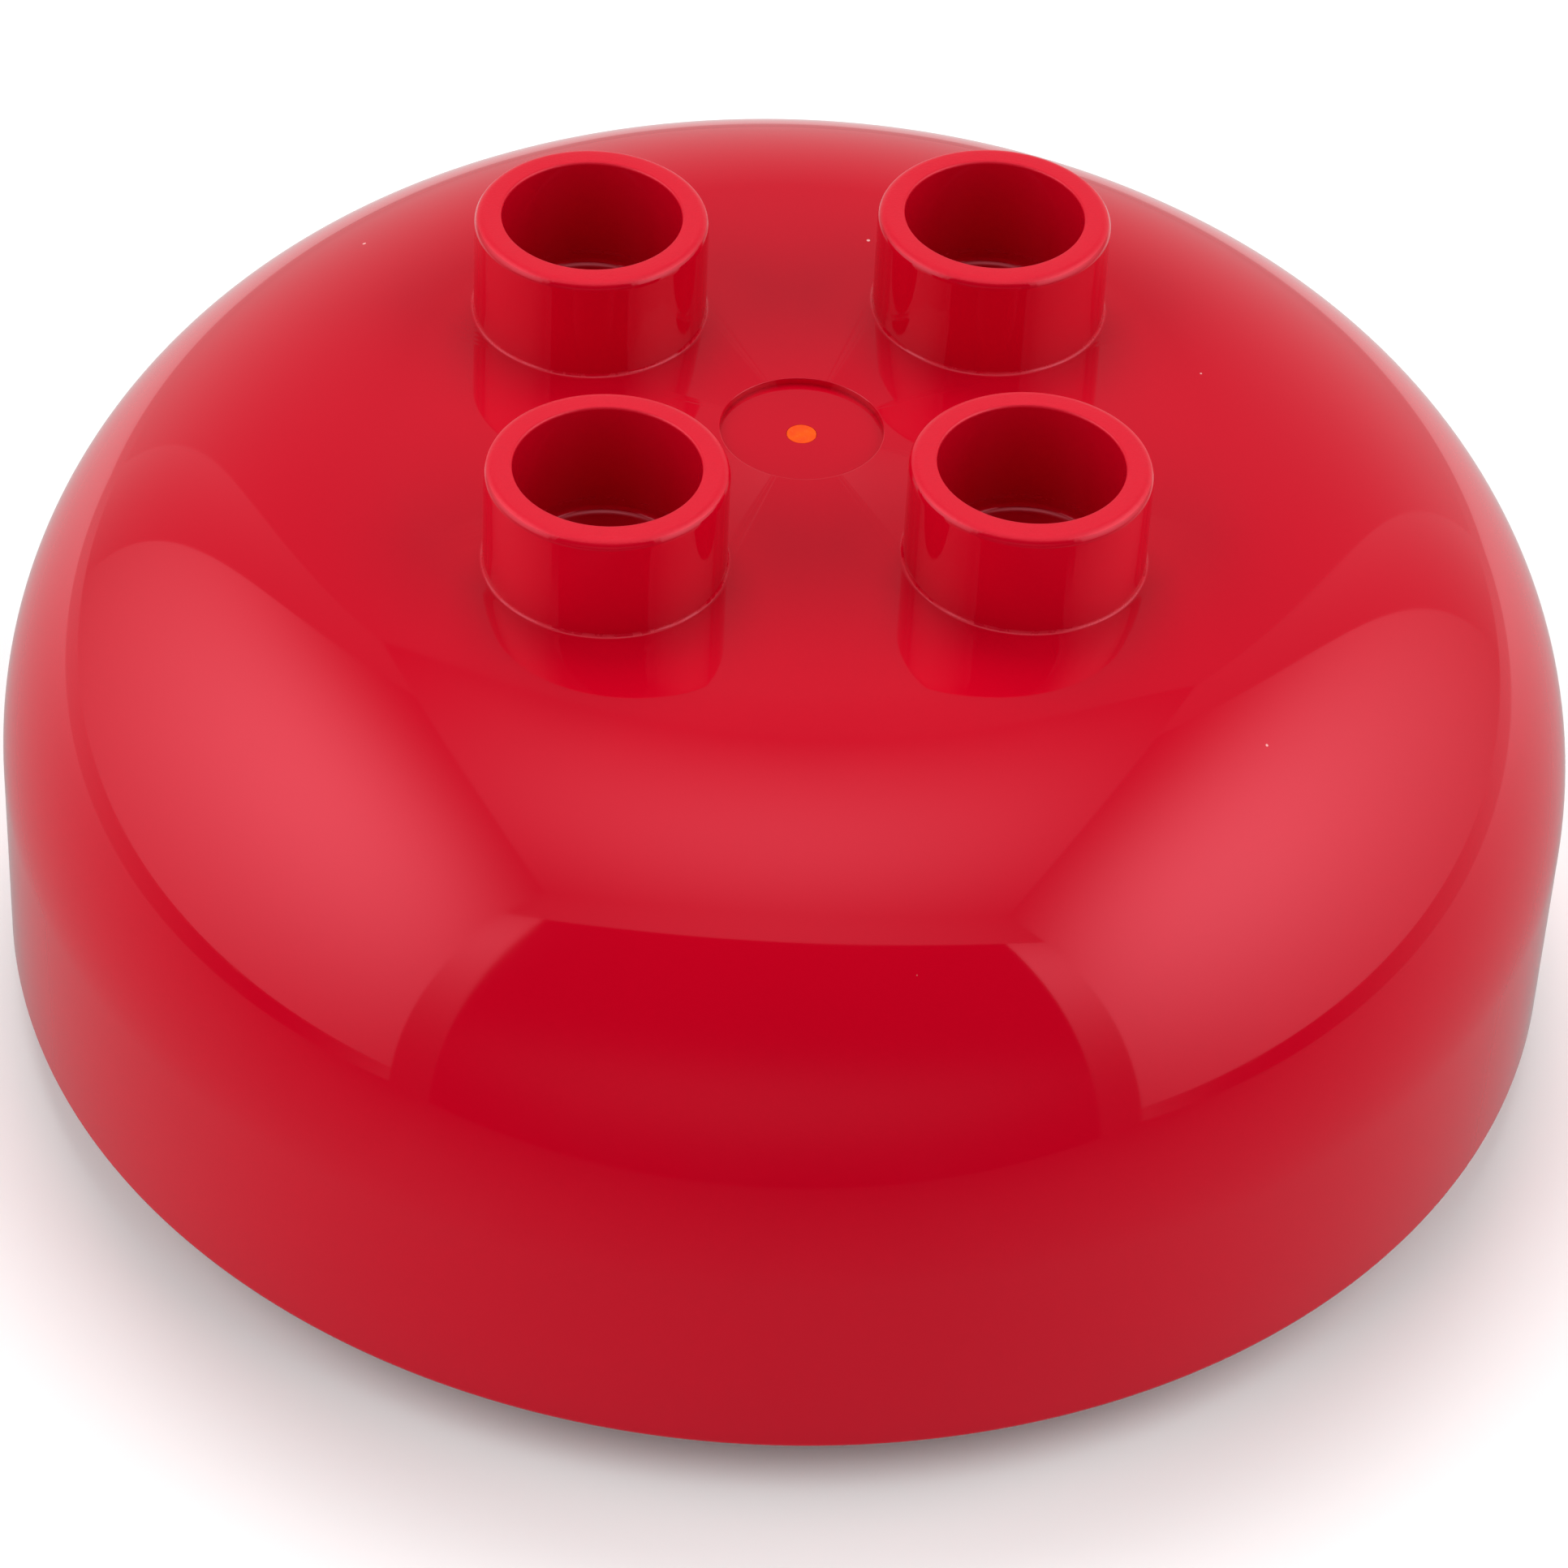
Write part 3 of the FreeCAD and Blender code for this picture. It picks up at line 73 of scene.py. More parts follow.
def make_camera():
    azimuth, elevation, roll = (math.radians(a) for a in (VIEW_AZIMUTH, VIEW_ELEVATION, VIEW_ROLL))
    back = Vector((math.sin(azimuth) * math.cos(elevation), -math.cos(azimuth) * math.cos(elevation),
                   math.sin(elevation)))
    right = Vector((math.cos(azimuth), math.sin(azimuth), 0.0))
    up = back.cross(right)
    tilted_right = right * math.cos(roll) + up * math.sin(roll)
    tilted_up = up * math.cos(roll) - right * math.sin(roll)
    target = Vector((0.0, 0.0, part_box("button_shell")[0].z + VIEW_HEIGHT))
    data = bpy.data.cameras.new("camera")
    data.lens = VIEW_LENS
    data.sensor_width = VIEW_SENSOR
    data.shift_x, data.shift_y = VIEW_SHIFT
    data.clip_start, data.clip_end = VIEW_CLIP
    camera = bpy.data.objects.new("camera", data)
    axes = Matrix((tilted_right, tilted_up, back)).transposed().to_4x4()
    camera.matrix_world = Matrix.Translation(target + back * VIEW_DISTANCE) @ axes
    bpy.context.scene.collection.objects.link(camera)
    bpy.context.scene.camera = camera


# ---------------------------------------------------------------- mesh helpers
ON_AXIS = 1e-9                 # a point this close to a lathe's axis lies on it
SHARP_ANGLE = 28.0             # edges that turn by more degrees than this stay sharp


def link(name, mesh):
    piece = bpy.data.objects.new(name, mesh)
    bpy.context.scene.collection.objects.link(piece)
    return piece


def arc(centre_r, centre_z, radius, start, end, steps):
    """Points of an arc in the radius-height plane, from angle start to end in degrees, both included."""
    angles = [math.radians(start + (end - start) * i / steps) for i in range(steps + 1)]
    return [(centre_r + radius * math.cos(a), centre_z + radius * math.sin(a)) for a in angles]


def lathe(name, outline, segments, at=(0.0, 0.0)):
    """Closed solid of revolution about a vertical axis. The outline starts and ends on the axis."""
    bm = bmesh.new()
    x, y = at
    turn = [2 * math.pi * (k + 0.5) / segments for k in range(segments)]
    rings = []
    for r, z in outline:
        if r < ON_AXIS:
            rings.append([bm.verts.new((x, y, z))])
        else:
            rings.append([bm.verts.new((x + r * math.cos(a), y + r * math.sin(a), z)) for a in turn])
    for lower, upper in zip(rings, rings[1:]):
        for k in range(segments):
            n = (k + 1) % segments
            if len(lower) == 1 and len(upper) == 1:
                continue
            if len(lower) == 1:
                bm.faces.new((lower[0], upper[n], upper[k]))
            elif len(upper) == 1:
                bm.faces.new((lower[k], lower[n], upper[0]))
            else:
                bm.faces.new((lower[k], lower[n], upper[n], upper[k]))
    bmesh.ops.recalc_face_normals(bm, faces=bm.faces)
    mesh = bpy.data.meshes.new(name)
    bm.to_mesh(mesh)
    bm.free()
    return link(name, mesh)


def rod(name, radius, low, high, at=(0.0, 0.0), segments=64):
    return lathe(name, [(0.0, low), (radius, low), (radius, high), (0.0, high)], segments, at)


def slab(name, low, high, turn=0.0):
    """Box between two corners, turned about the world's Z axis by an angle in degrees."""
    bm = bmesh.new()
    bmesh.ops.create_cube(bm, size=1.0)
    size = Vector(high) - Vector(low)
    middle = (Vector(high) + Vector(low)) / 2
    spin = Matrix.Rotation(math.radians(turn), 4, "Z")
    bm.transform(spin @ Matrix.Translation(middle) @ Matrix.Diagonal((*size, 1.0)))
    mesh = bpy.data.meshes.new(name)
    bm.to_mesh(mesh)
    bm.free()
    return link(name, mesh)


def combine(first, others, operation):
    """Boolean of first with each of the others, applied, with the others used up."""
    for other in others:
        step = first.modifiers.new("step", "BOOLEAN")
        step.operation = operation
        step.solver = "MANIFOLD"
        step.object = other
    depsgraph = bpy.context.evaluated_depsgraph_get()
    mesh = bpy.data.meshes.new_from_object(first.evaluated_get(depsgraph))
    first.modifiers.clear()
    old = first.data
    first.data = mesh
    bpy.data.meshes.remove(old)
    for other in others:
        bpy.data.meshes.remove(other.data)
    return first


def shade(piece):
    """Smooth shading with sharp edges, and flats that stay flat."""
    mesh = piece.data
    mesh.shade_smooth()
    mesh.set_sharp_from_angle(angle=math.radians(SHARP_ANGLE))
    weighted = piece.modifiers.new("weighted", "WEIGHTED_NORMAL")
    weighted.mode = "FACE_AREA"
    weighted.keep_sharp = True
    weighted.weight = 100


# ---------------------------------------------------------------- shell
shell_low, shell_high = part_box("button_shell")
pipe_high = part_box("light_pipe")[1]
washer_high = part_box("guide_washers")[1]
ring_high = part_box("damper_ring")[1]
spring_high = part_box("return_spring_front_left")[1]
stud_mounts = [m for m in frame["record"]["mounts"] if m["name"].startswith("stud_")]
stud_places = [tuple(m["pos_m"][:2]) for m in stud_mounts]
STUD_R = stud_mounts[0]["dims"]["r_mm"] * MM
STUD_OUT = abs(stud_places[0][0])
STUD_TOP = shell_high.z
STUD_H = 4.5 * MM
STUD_FOOT = 0.15 * MM          # fillet where a stud meets the flat top
STUD_EDGE = 0.4 * MM           # rounding of a stud's outer top edge
SHELL_TOP = STUD_TOP - STUD_H
SHELL_R = shell_high.x
RIM = shell_low.z
RIM_EDGE = 0.3 * MM
WALL = 2.0 * MM
FLAT_MARGIN = 0.05 * MM        # flat top past the outermost stud foot
BORE_R = 3.575 * MM
BORE_DEPTH = 5.0 * MM
BORE_FLOOR_EDGE = 0.3 * MM
BORE_MOUTH_EDGE = 0.12 * MM
WELL_R = 3.2 * MM
WELL_EDGE = 0.06 * MM
TIP_R = 0.6 * MM               # light pipe's visible end
TIP_LEN = 1.3 * MM
PIPE_R = 1.5 * MM
COLLAR_R = 2.5 * MM
COLLAR_H = 2.5 * MM
POST_R = 2.5 * MM
POST_PILOT_R = 0.92 * MM
POST_PILOT_LEN = 7.5 * MM
SEAT_R = 3.5 * MM
RIB_T = 1.4 * MM
RIB_INNER_R = 12.9 * MM
PUSHER_R = 1.6 * MM
PUSHER_TIP = 19.33 * MM
PUSHER_X = 3.6 * MM
PUSHER_Y = -6.7 * MM
WASHER_R = 3.6 * MM
press_joint = next(j for j in frame["record"]["behaviour"]["joints"] if j["name"] == "press")
PRESS = press_joint["range_m"][1]
PLAY = 0.05 * MM
PAST = 0.5 * MM                # how far a cutter runs past the face that it opens
SHELL_ROUND = 320              # segments round the shell
STUD_ROUND = 128               # segments round a stud, its bore and the well
SMALL_ROUND = 48               # segments round the pusher and the light pipe's tip
PILOT_ROUND = 32
SHOULDER_STEPS = 72            # steps of the shoulder's arc outside, and of the arcs inside it
INNER_STEPS = 40
STUD_EDGE_STEPS = 10
EDGE_STEPS = 6                 # steps of a small rounding
WELL_EDGE_STEPS = 4
BALL_START = -80               # the pusher's ball starts 10 degrees off its axis
BALL_STEPS = 10

FLAT_R = math.hypot(STUD_OUT, STUD_OUT) + STUD_R + STUD_FOOT + FLAT_MARGIN
SHOULDER_R = SHELL_R - FLAT_R
SHOULDER_Z = SHELL_TOP - SHOULDER_R
INNER_TOP = SHELL_TOP - WALL
WELL_FLOOR = pipe_high.z
POST_OUT = washer_high.x - WASHER_R
post_places = [(sx * POST_OUT, sy * POST_OUT) for sx in (-1, 1) for sy in (-1, 1)]
pusher_place = (PUSHER_X, PUSHER_Y)


def shell_skin():
    """The shell's wall: flat top, round shoulder, skirt and rim, the same thickness all over."""
    outline = [(0.0, SHELL_TOP)]
    outline += arc(FLAT_R, SHOULDER_Z, SHOULDER_R, 90, 0, SHOULDER_STEPS)
    outline += [(SHELL_R, RIM + RIM_EDGE + (SHOULDER_Z - RIM) * share) for share in (0.75, 0.5, 0.25)]
    outline += arc(SHELL_R - RIM_EDGE, RIM + RIM_EDGE, RIM_EDGE, 0, -90, EDGE_STEPS)
    outline += [(SHELL_R - WALL, RIM)]
    outline += arc(FLAT_R, SHOULDER_Z, SHOULDER_R - WALL, 0, 90, INNER_STEPS)
    outline += [(0.0, INNER_TOP)]
    return lathe("shell_skin", outline, SHELL_ROUND)


def shell_core(name, inset):
    """Solid that reaches from the axis to inset inside the shell's outer form."""
    outline = [(0.0, SHELL_TOP - inset)]
    outline += arc(FLAT_R, SHOULDER_Z, SHOULDER_R - inset, 90, 0, INNER_STEPS)
    outline += [(SHELL_R - inset, RIM), (0.0, RIM)]
    return lathe(name, outline, SHELL_ROUND)


def stud_form(at):
    """Stud before its bore, with its lower end inside the shell's wall."""
    sunk = SHELL_TOP - WALL / 2
    foot = STUD_R + STUD_FOOT
    outline = [(0.0, sunk), (foot, sunk)]
    outline += arc(foot, SHELL_TOP + STUD_FOOT, STUD_FOOT, 270, 180, EDGE_STEPS)
    outline += arc(STUD_R - STUD_EDGE, STUD_TOP - STUD_EDGE, STUD_EDGE, 0, 90, STUD_EDGE_STEPS)
    outline += [(0.0, STUD_TOP)]
    return lathe("stud", outline, STUD_ROUND, at)


def bore_form(at):
    """Cutter for a stud's bore, with a rounded mouth and a rounded floor edge."""
    floor = STUD_TOP - BORE_DEPTH
    outline = [(0.0, floor)]
    mouth = BORE_R + BORE_MOUTH_EDGE
    outline += arc(BORE_R - BORE_FLOOR_EDGE, floor + BORE_FLOOR_EDGE, BORE_FLOOR_EDGE, -90, 0, EDGE_STEPS)
    outline += arc(mouth, STUD_TOP - BORE_MOUTH_EDGE, BORE_MOUTH_EDGE, 180, 90, EDGE_STEPS)
    outline += [(mouth, STUD_TOP + PAST), (0.0, STUD_TOP + PAST)]
    return lathe("bore", outline, STUD_ROUND, at)


def inner_works():
    """Guide posts with their spring seats and stop ribs, all inside the shell's wall."""
    posts = [rod("post", POST_R, washer_high.z, SHELL_TOP, at) for at in post_places]
    posts += [rod("seat", SEAT_R, spring_high.z + PLAY, SHELL_TOP, at) for at in post_places]
    low = ring_high.z + PRESS + PLAY
    ribs = [slab("rib", (RIB_INNER_R, -RIB_T / 2, low), (SHELL_R, RIB_T / 2, SHELL_TOP), turn)
            for turn in (0, 90, 180, 270)]
    works = combine(posts[0], posts[1:] + ribs, "UNION")
    return combine(works, [shell_core("core", WALL / 2)], "INTERSECT")


def switch_pusher():
    """Boss with a ball end that presses the switch's lever."""
    middle = PUSHER_TIP + PUSHER_R
    outline = [(0.0, PUSHER_TIP)]
    outline += arc(0.0, middle, PUSHER_R, BALL_START, 0, BALL_STEPS)
    outline += [(PUSHER_R, INNER_TOP + WALL / 2), (0.0, INNER_TOP + WALL / 2)]
    return lathe("pusher", outline, SMALL_ROUND, pusher_place)


def well_form():
    """Cutter for the shallow well in the middle of the top."""
    mouth = WELL_R + WELL_EDGE
    outline = [(0.0, WELL_FLOOR), (WELL_R, WELL_FLOOR)]
    outline += arc(mouth, SHELL_TOP - WELL_EDGE, WELL_EDGE, 180, 90, WELL_EDGE_STEPS)
    outline += [(mouth, SHELL_TOP + PAST), (0.0, SHELL_TOP + PAST)]
    return lathe("well", outline, STUD_ROUND)


def make_shell():
    shell = shell_skin()
    collar = rod("collar", COLLAR_R, INNER_TOP - COLLAR_H, INNER_TOP + WALL / 2)
    added = [stud_form(at) for at in stud_places] + [inner_works(), collar, switch_pusher()]
    combine(shell, added, "UNION")
    pilot_low = washer_high.z - PAST
    pilot_high = washer_high.z + POST_PILOT_LEN
    cutters = [bore_form(at) for at in stud_places]
    cutters += [rod("pilot", POST_PILOT_R, pilot_low, pilot_high, at, PILOT_ROUND) for at in post_places]
    cutters.append(rod("pipe_hole", PIPE_R, INNER_TOP - COLLAR_H - PAST, WELL_FLOOR - TIP_LEN))
    cutters.append(rod("tip_hole", TIP_R, INNER_TOP - PAST, SHELL_TOP, segments=SMALL_ROUND))
    cutters.append(well_form())
    combine(shell, cutters, "DIFFERENCE")
    shell.name = "shell"
    shade(shell)
    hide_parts("button_shell")
    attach(shell, "button")
    return shell


# ---------------------------------------------------------------- return springs
SPRING_NODES = [name for name in nodes if name.startswith("return_spring_")]


def make_springs():
    """The four springs again, each as a piece of its own on the base."""
    springs = []
    for node in SPRING_NODES:
        spring = link(node + "_coil", nodes[node].data.copy())
        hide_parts(node)
        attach(spring, "base")
        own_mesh(spring)
        springs.append(spring)
    return springs


# ---------------------------------------------------------------- colours
RED = (0.505, 0.0006, 0.0125)
RED_DEEP = (0.480, 0.0006, 0.0120)
# painted highlight: the stud tops are coloured a lighter red than the rest of the shell
STUD_TOP_HIGHLIGHT_RED = (0.600, 0.0020, 0.0170)
RED_SHINE = (1.0, 0.30, 0.37)   # reflections seen head on take up the shell's red
DUST = (0.75, 0.40, 0.38)
AMBER = (0.80, 0.080, 0.002)
AMBER_DEEP = (0.76, 0.050, 0.006)
AMBER_SHINE = (1.0, 0.55, 0.20)
TORN_LINE = (0.01 * MM, 0.03 * MM, 0.14 * MM, 0.18 * MM)    # above the flat top: fades in, then out


# ---------------------------------------------------------------- materials
WAVE_PERIOD = 0.314            # distance between the crests of a wave texture at scale 1


class Finish:
    """A Principled material built up from procedural textures in the piece's own space."""

    def __init__(self, name, colour, roughness, metallic=0.0, ior=1.5):
        self.made = bpy.data.materials.new(name)
        self.made.use_nodes = True
        self.tree = self.made.node_tree
        self.shader = self.tree.nodes["Principled BSDF"]
        self.place = self.node("ShaderNodeTexCoord").outputs["Object"]
        self.normal = None
        self.shader.inputs["Base Color"].default_value = (*colour, 1.0)
        self.shader.inputs["Roughness"].default_value = roughness
        self.shader.inputs["Metallic"].default_value = metallic
        self.shader.inputs["IOR"].default_value = ior

    def node(self, kind, **settings):
        made = self.tree.nodes.new(kind)
        for key, value in settings.items():
            setattr(made, key, value)
        return made

    def join(self, source, target):
        self.tree.links.new(source, target)

    def stretched(self, stretch):
        mapping = self.node("ShaderNodeMapping")
        mapping.inputs["Scale"].default_value = stretch
        self.join(self.place, mapping.inputs["Vector"])
        return mapping.outputs["Vector"]

    def grain(self, size, detail=3.0, stretch=(1.0, 1.0, 1.0)):
        """Noise with features about size millimetres across, from 0 to 1."""
        noise = self.node("ShaderNodeTexNoise")
        noise.inputs["Scale"].default_value = 1.0 / (size * MM)
        noise.inputs["Detail"].default_value = detail
        self.join(self.stretched(stretch), noise.inputs["Vector"])
        return noise.outputs["Fac"]

    def cells(self, size, stretch=(1.0, 1.0, 1.0)):
        """Distance to the nearest of points about size millimetres apart, in units of that size."""
        voronoi = self.node("ShaderNodeTexVoronoi")
        voronoi.inputs["Scale"].default_value = 1.0 / (size * MM)
        self.join(self.stretched(stretch), voronoi.inputs["Vector"])
        return voronoi.outputs["Distance"]

    def rings(self, size, axis):
        """Fine turning marks size millimetres apart about an axis."""
        wave = self.node("ShaderNodeTexWave", wave_type="RINGS", rings_direction=axis)
        wave.inputs["Scale"].default_value = WAVE_PERIOD / (size * MM)
        wave.inputs["Distortion"].default_value = 0.0
        self.join(self.place, wave.inputs["Vector"])
        return wave.outputs["Fac"]

    def height(self):
        """Height above the table, in metres."""
        split = self.node("ShaderNodeSeparateXYZ")
        self.join(self.place, split.inputs[0])
        return split.outputs["Z"]

    def spread(self, value, low, high, start=0.0, end=1.0):
        """Smoothly maps a value's stretch from low to high onto start to end."""
        mapped = self.node("ShaderNodeMapRange", interpolation_type="SMOOTHSTEP")
        self.join(value, mapped.inputs["Value"])
        for socket, number in zip(("From Min", "From Max", "To Min", "To Max"), (low, high, start, end)):
            mapped.inputs[socket].default_value = number
        return mapped.outputs["Result"]

    def both(self, first, second, operation="MULTIPLY"):
        math_node = self.node("ShaderNodeMath", operation=operation)
        self.join(first, math_node.inputs[0])
        self.join(second, math_node.inputs[1])
        return math_node.outputs[0]

    def tint(self, mask, colour):
        """Turns the colour so far towards another one where the mask is 1."""
        mix = self.node("ShaderNodeMix", data_type="RGBA")
        target = self.shader.inputs["Base Color"]
        mix.inputs["A"].default_value = target.default_value
        if target.links:
            self.join(target.links[0].from_socket, mix.inputs["A"])
        mix.inputs["B"].default_value = (*colour, 1.0)
        self.join(mask, mix.inputs["Factor"])
        self.join(mix.outputs["Result"], target)

    def rough(self, mask, low, high):
        """Roughness from low to high as the mask goes from 0 to 1, over what is there already."""
        target = self.shader.inputs["Roughness"]
        mix = self.node("ShaderNodeMix", data_type="FLOAT")
        mix.inputs["A"].default_value = low
        if target.links:
            self.join(target.links[0].from_socket, mix.inputs["A"])
        mix.inputs["B"].default_value = high
        self.join(mask, mix.inputs["Factor"])
        self.join(mix.outputs["Result"], target)

    def bump(self, value, depth):
        """Relief of depth millimetres, on top of what is there already."""
        made = self.node("ShaderNodeBump")
        made.inputs["Distance"].default_value = depth * MM
        made.inputs["Strength"].default_value = 1.0
        self.join(value, made.inputs["Height"])
        if self.normal:
            self.join(self.normal, made.inputs["Normal"])
        self.normal = made.outputs["Normal"]
        self.join(self.normal, self.shader.inputs["Normal"])


def red_shell():
    """High-gloss red plastic with satin stud tops, painted a lighter red there as a highlight, a torn line at
    the stud feet and a few dust specks.
    """
    made = Finish("red_shell", RED, 0.045, ior=1.6)
    made.shader.inputs["Specular IOR Level"].default_value = 1.0
    made.shader.inputs["Specular Tint"].default_value = (*RED_SHINE, 1.0)
    height = made.height()
    stud_tops = made.spread(height, STUD_TOP - STUD_EDGE / 2, STUD_TOP - STUD_EDGE / 4)
    in_from, in_to, out_from, out_to = (SHELL_TOP + above for above in TORN_LINE)
    stud_feet = made.both(made.spread(height, in_from, in_to),
                          made.spread(height, out_from, out_to, 1.0, 0.0))
    specks = made.spread(made.cells(4.3), 0.014, 0.020, 1.0, 0.0)
    made.tint(made.spread(made.grain(9.0), 0.35, 0.65, 0.0, 0.35), RED_DEEP)
    # painted highlight: the stud tops turn a lighter red, finely mottled
    made.tint(made.both(stud_tops, made.spread(made.grain(0.20), 0.1, 0.5, 0.6, 1.0)), STUD_TOP_HIGHLIGHT_RED)
    made.tint(specks, DUST)
    made.rough(made.spread(made.grain(5.0, 4.0), 0.45, 0.75), 0.040, 0.075)
    made.rough(made.both(stud_feet, made.spread(made.grain(0.5), 0.35, 0.65)), 0.0, 0.45)
    made.rough(stud_tops, 0.0, 0.34)
    made.rough(specks, 0.0, 0.8)
    made.bump(made.grain(9.0, 1.0), 0.010)
    made.bump(made.both(stud_tops, made.grain(0.11, 2.0)), 0.012)
    return made.made


def amber_lens():
    made = Finish("amber_lens", AMBER, 0.22, ior=1.49)
    made.shader.inputs["Specular Tint"].default_value = (*AMBER_SHINE, 1.0)
    made.tint(made.spread(made.grain(0.5), 0.35, 0.65), AMBER_DEEP)
    made.rough(made.grain(0.2), 0.18, 0.34)
    # painted glow: the lens gives off a faint amber light of its own
    made.shader.inputs["Emission Color"].default_value = (*AMBER, 1.0)
    made.shader.inputs["Emission Strength"].default_value = 0.12
    return made.made


def lamp_epoxy():
    made = Finish("lamp_epoxy", (0.90, 0.30, 0.03), 0.08, ior=1.54)
    made.tint(made.spread(made.grain(1.2), 0.4, 0.7), (0.95, 0.42, 0.06))
    made.rough(made.grain(0.8), 0.06, 0.14)
    made.shader.inputs["Coat Weight"].default_value = 0.4
    return made.made


def moulded(name, colour, light, roughness, grain_size, depth, ior=1.5):
    """Moulded plastic with a spark-eroded grain and a faint flow pattern."""
    made = Finish(name, colour, roughness, ior=ior)
    made.tint(made.spread(made.grain(6.0, 4.0), 0.4, 0.7, 0.0, 0.6), light)
    made.rough(made.grain(1.5), roughness - 0.06, roughness + 0.08)
    made.bump(made.grain(grain_size, 2.0), depth)
    return made.made


def plated(name, colour, dark, roughness, streak=(1.0, 1.0, 1.0), mark=0.25, depth=0.004):
    """Plated or drawn metal with fine marks along its length and duller patches."""
    made = Finish(name, colour, roughness, metallic=1.0)
    marks = made.grain(mark, 3.0, streak)
    made.tint(made.spread(made.grain(2.5, 4.0), 0.4, 0.75), dark)
    made.rough(made.spread(marks, 0.3, 0.7), roughness - 0.06, roughness + 0.14)
    made.bump(marks, depth)
    return made.made


def brushed_cell():
    made = Finish("cell_can", (0.70, 0.70, 0.69), 0.28, metallic=1.0)
    marks = made.grain(0.12, 2.0, (0.03, 1.0, 1.0))
    made.tint(made.spread(made.grain(4.0), 0.45, 0.7), (0.60, 0.60, 0.58))
    made.rough(made.spread(marks, 0.3, 0.7), 0.22, 0.38)
    made.bump(marks, 0.002)
    return made.made


def brass_insert():
    made = Finish("brass_insert", (0.72, 0.52, 0.22), 0.30, metallic=1.0)
    made.tint(made.spread(made.grain(0.9), 0.4, 0.7), (0.58, 0.40, 0.15))
    made.rough(made.grain(0.3), 0.22, 0.42)
    made.bump(made.cells(0.35, (1.0, 1.0, 0.6)), 0.03)
    return made.made


def speaker_film():
    made = Finish("cone_film", (0.10, 0.10, 0.10), 0.38)
    made.tint(made.spread(made.grain(2.0), 0.4, 0.7), (0.06, 0.06, 0.062))
    made.rough(made.grain(0.8), 0.30, 0.46)
    made.bump(made.rings(0.5, "Z"), 0.01)
    return made.made


def board_green():
    """Solder mask with the weave of the laminate showing through and copper under it."""
    made = Finish("board_green", (0.020, 0.160, 0.060), 0.30, ior=1.52)
    warp = made.grain(0.35, 0.0, (0.2, 1.0, 1.0))
    weft = made.grain(0.35, 0.0, (1.0, 0.2, 1.0))
    weave = made.both(warp, weft, "MAXIMUM")
    made.tint(made.spread(made.grain(3.0, 1.0), 0.50, 0.52), (0.030, 0.225, 0.085))
    made.rough(made.spread(weave, 0.4, 0.7), 0.24, 0.36)
    made.bump(weave, 0.012)
    return made.made


def ceramic(name, colour, dark):
    made = Finish(name, colour, 0.45)
    made.tint(made.spread(made.grain(0.3), 0.4, 0.7), dark)
    made.rough(made.grain(0.15), 0.36, 0.55)
    made.bump(made.grain(0.06), 0.006)
    return made.made


def rubber_black():
    made = Finish("rubber_black", (0.025, 0.025, 0.027), 0.72, ior=1.52)
    made.tint(made.spread(made.grain(1.2, 4.0), 0.5, 0.8), (0.055, 0.055, 0.056))
    made.rough(made.grain(0.6), 0.62, 0.84)
    made.bump(made.grain(0.10), 0.015)
    return made.made


def foam_grey():
    """Closed-cell foam: open bubbles at the cut faces, with painted shade darkening their pits."""
    made = Finish("foam_grey", (0.12, 0.12, 0.13), 0.85)
    bubbles = made.spread(made.cells(0.30), 0.10, 0.55)
    # painted shade: the pits of the bubbles are coloured darker
    made.tint(made.spread(bubbles, 0.0, 0.7, 0.8, 0.0), (0.035, 0.035, 0.04))
    made.rough(made.grain(0.5), 0.78, 0.92)
    made.bump(bubbles, 0.06)
    return made.made


def insulation(name, colour, light):
    made = Finish(name, colour, 0.30, ior=1.53)
    made.tint(made.spread(made.grain(0.8, 3.0), 0.45, 0.75), light)
    made.rough(made.grain(0.3), 0.24, 0.40)
    made.bump(made.grain(0.25, 1.0), 0.010)
    return made.made


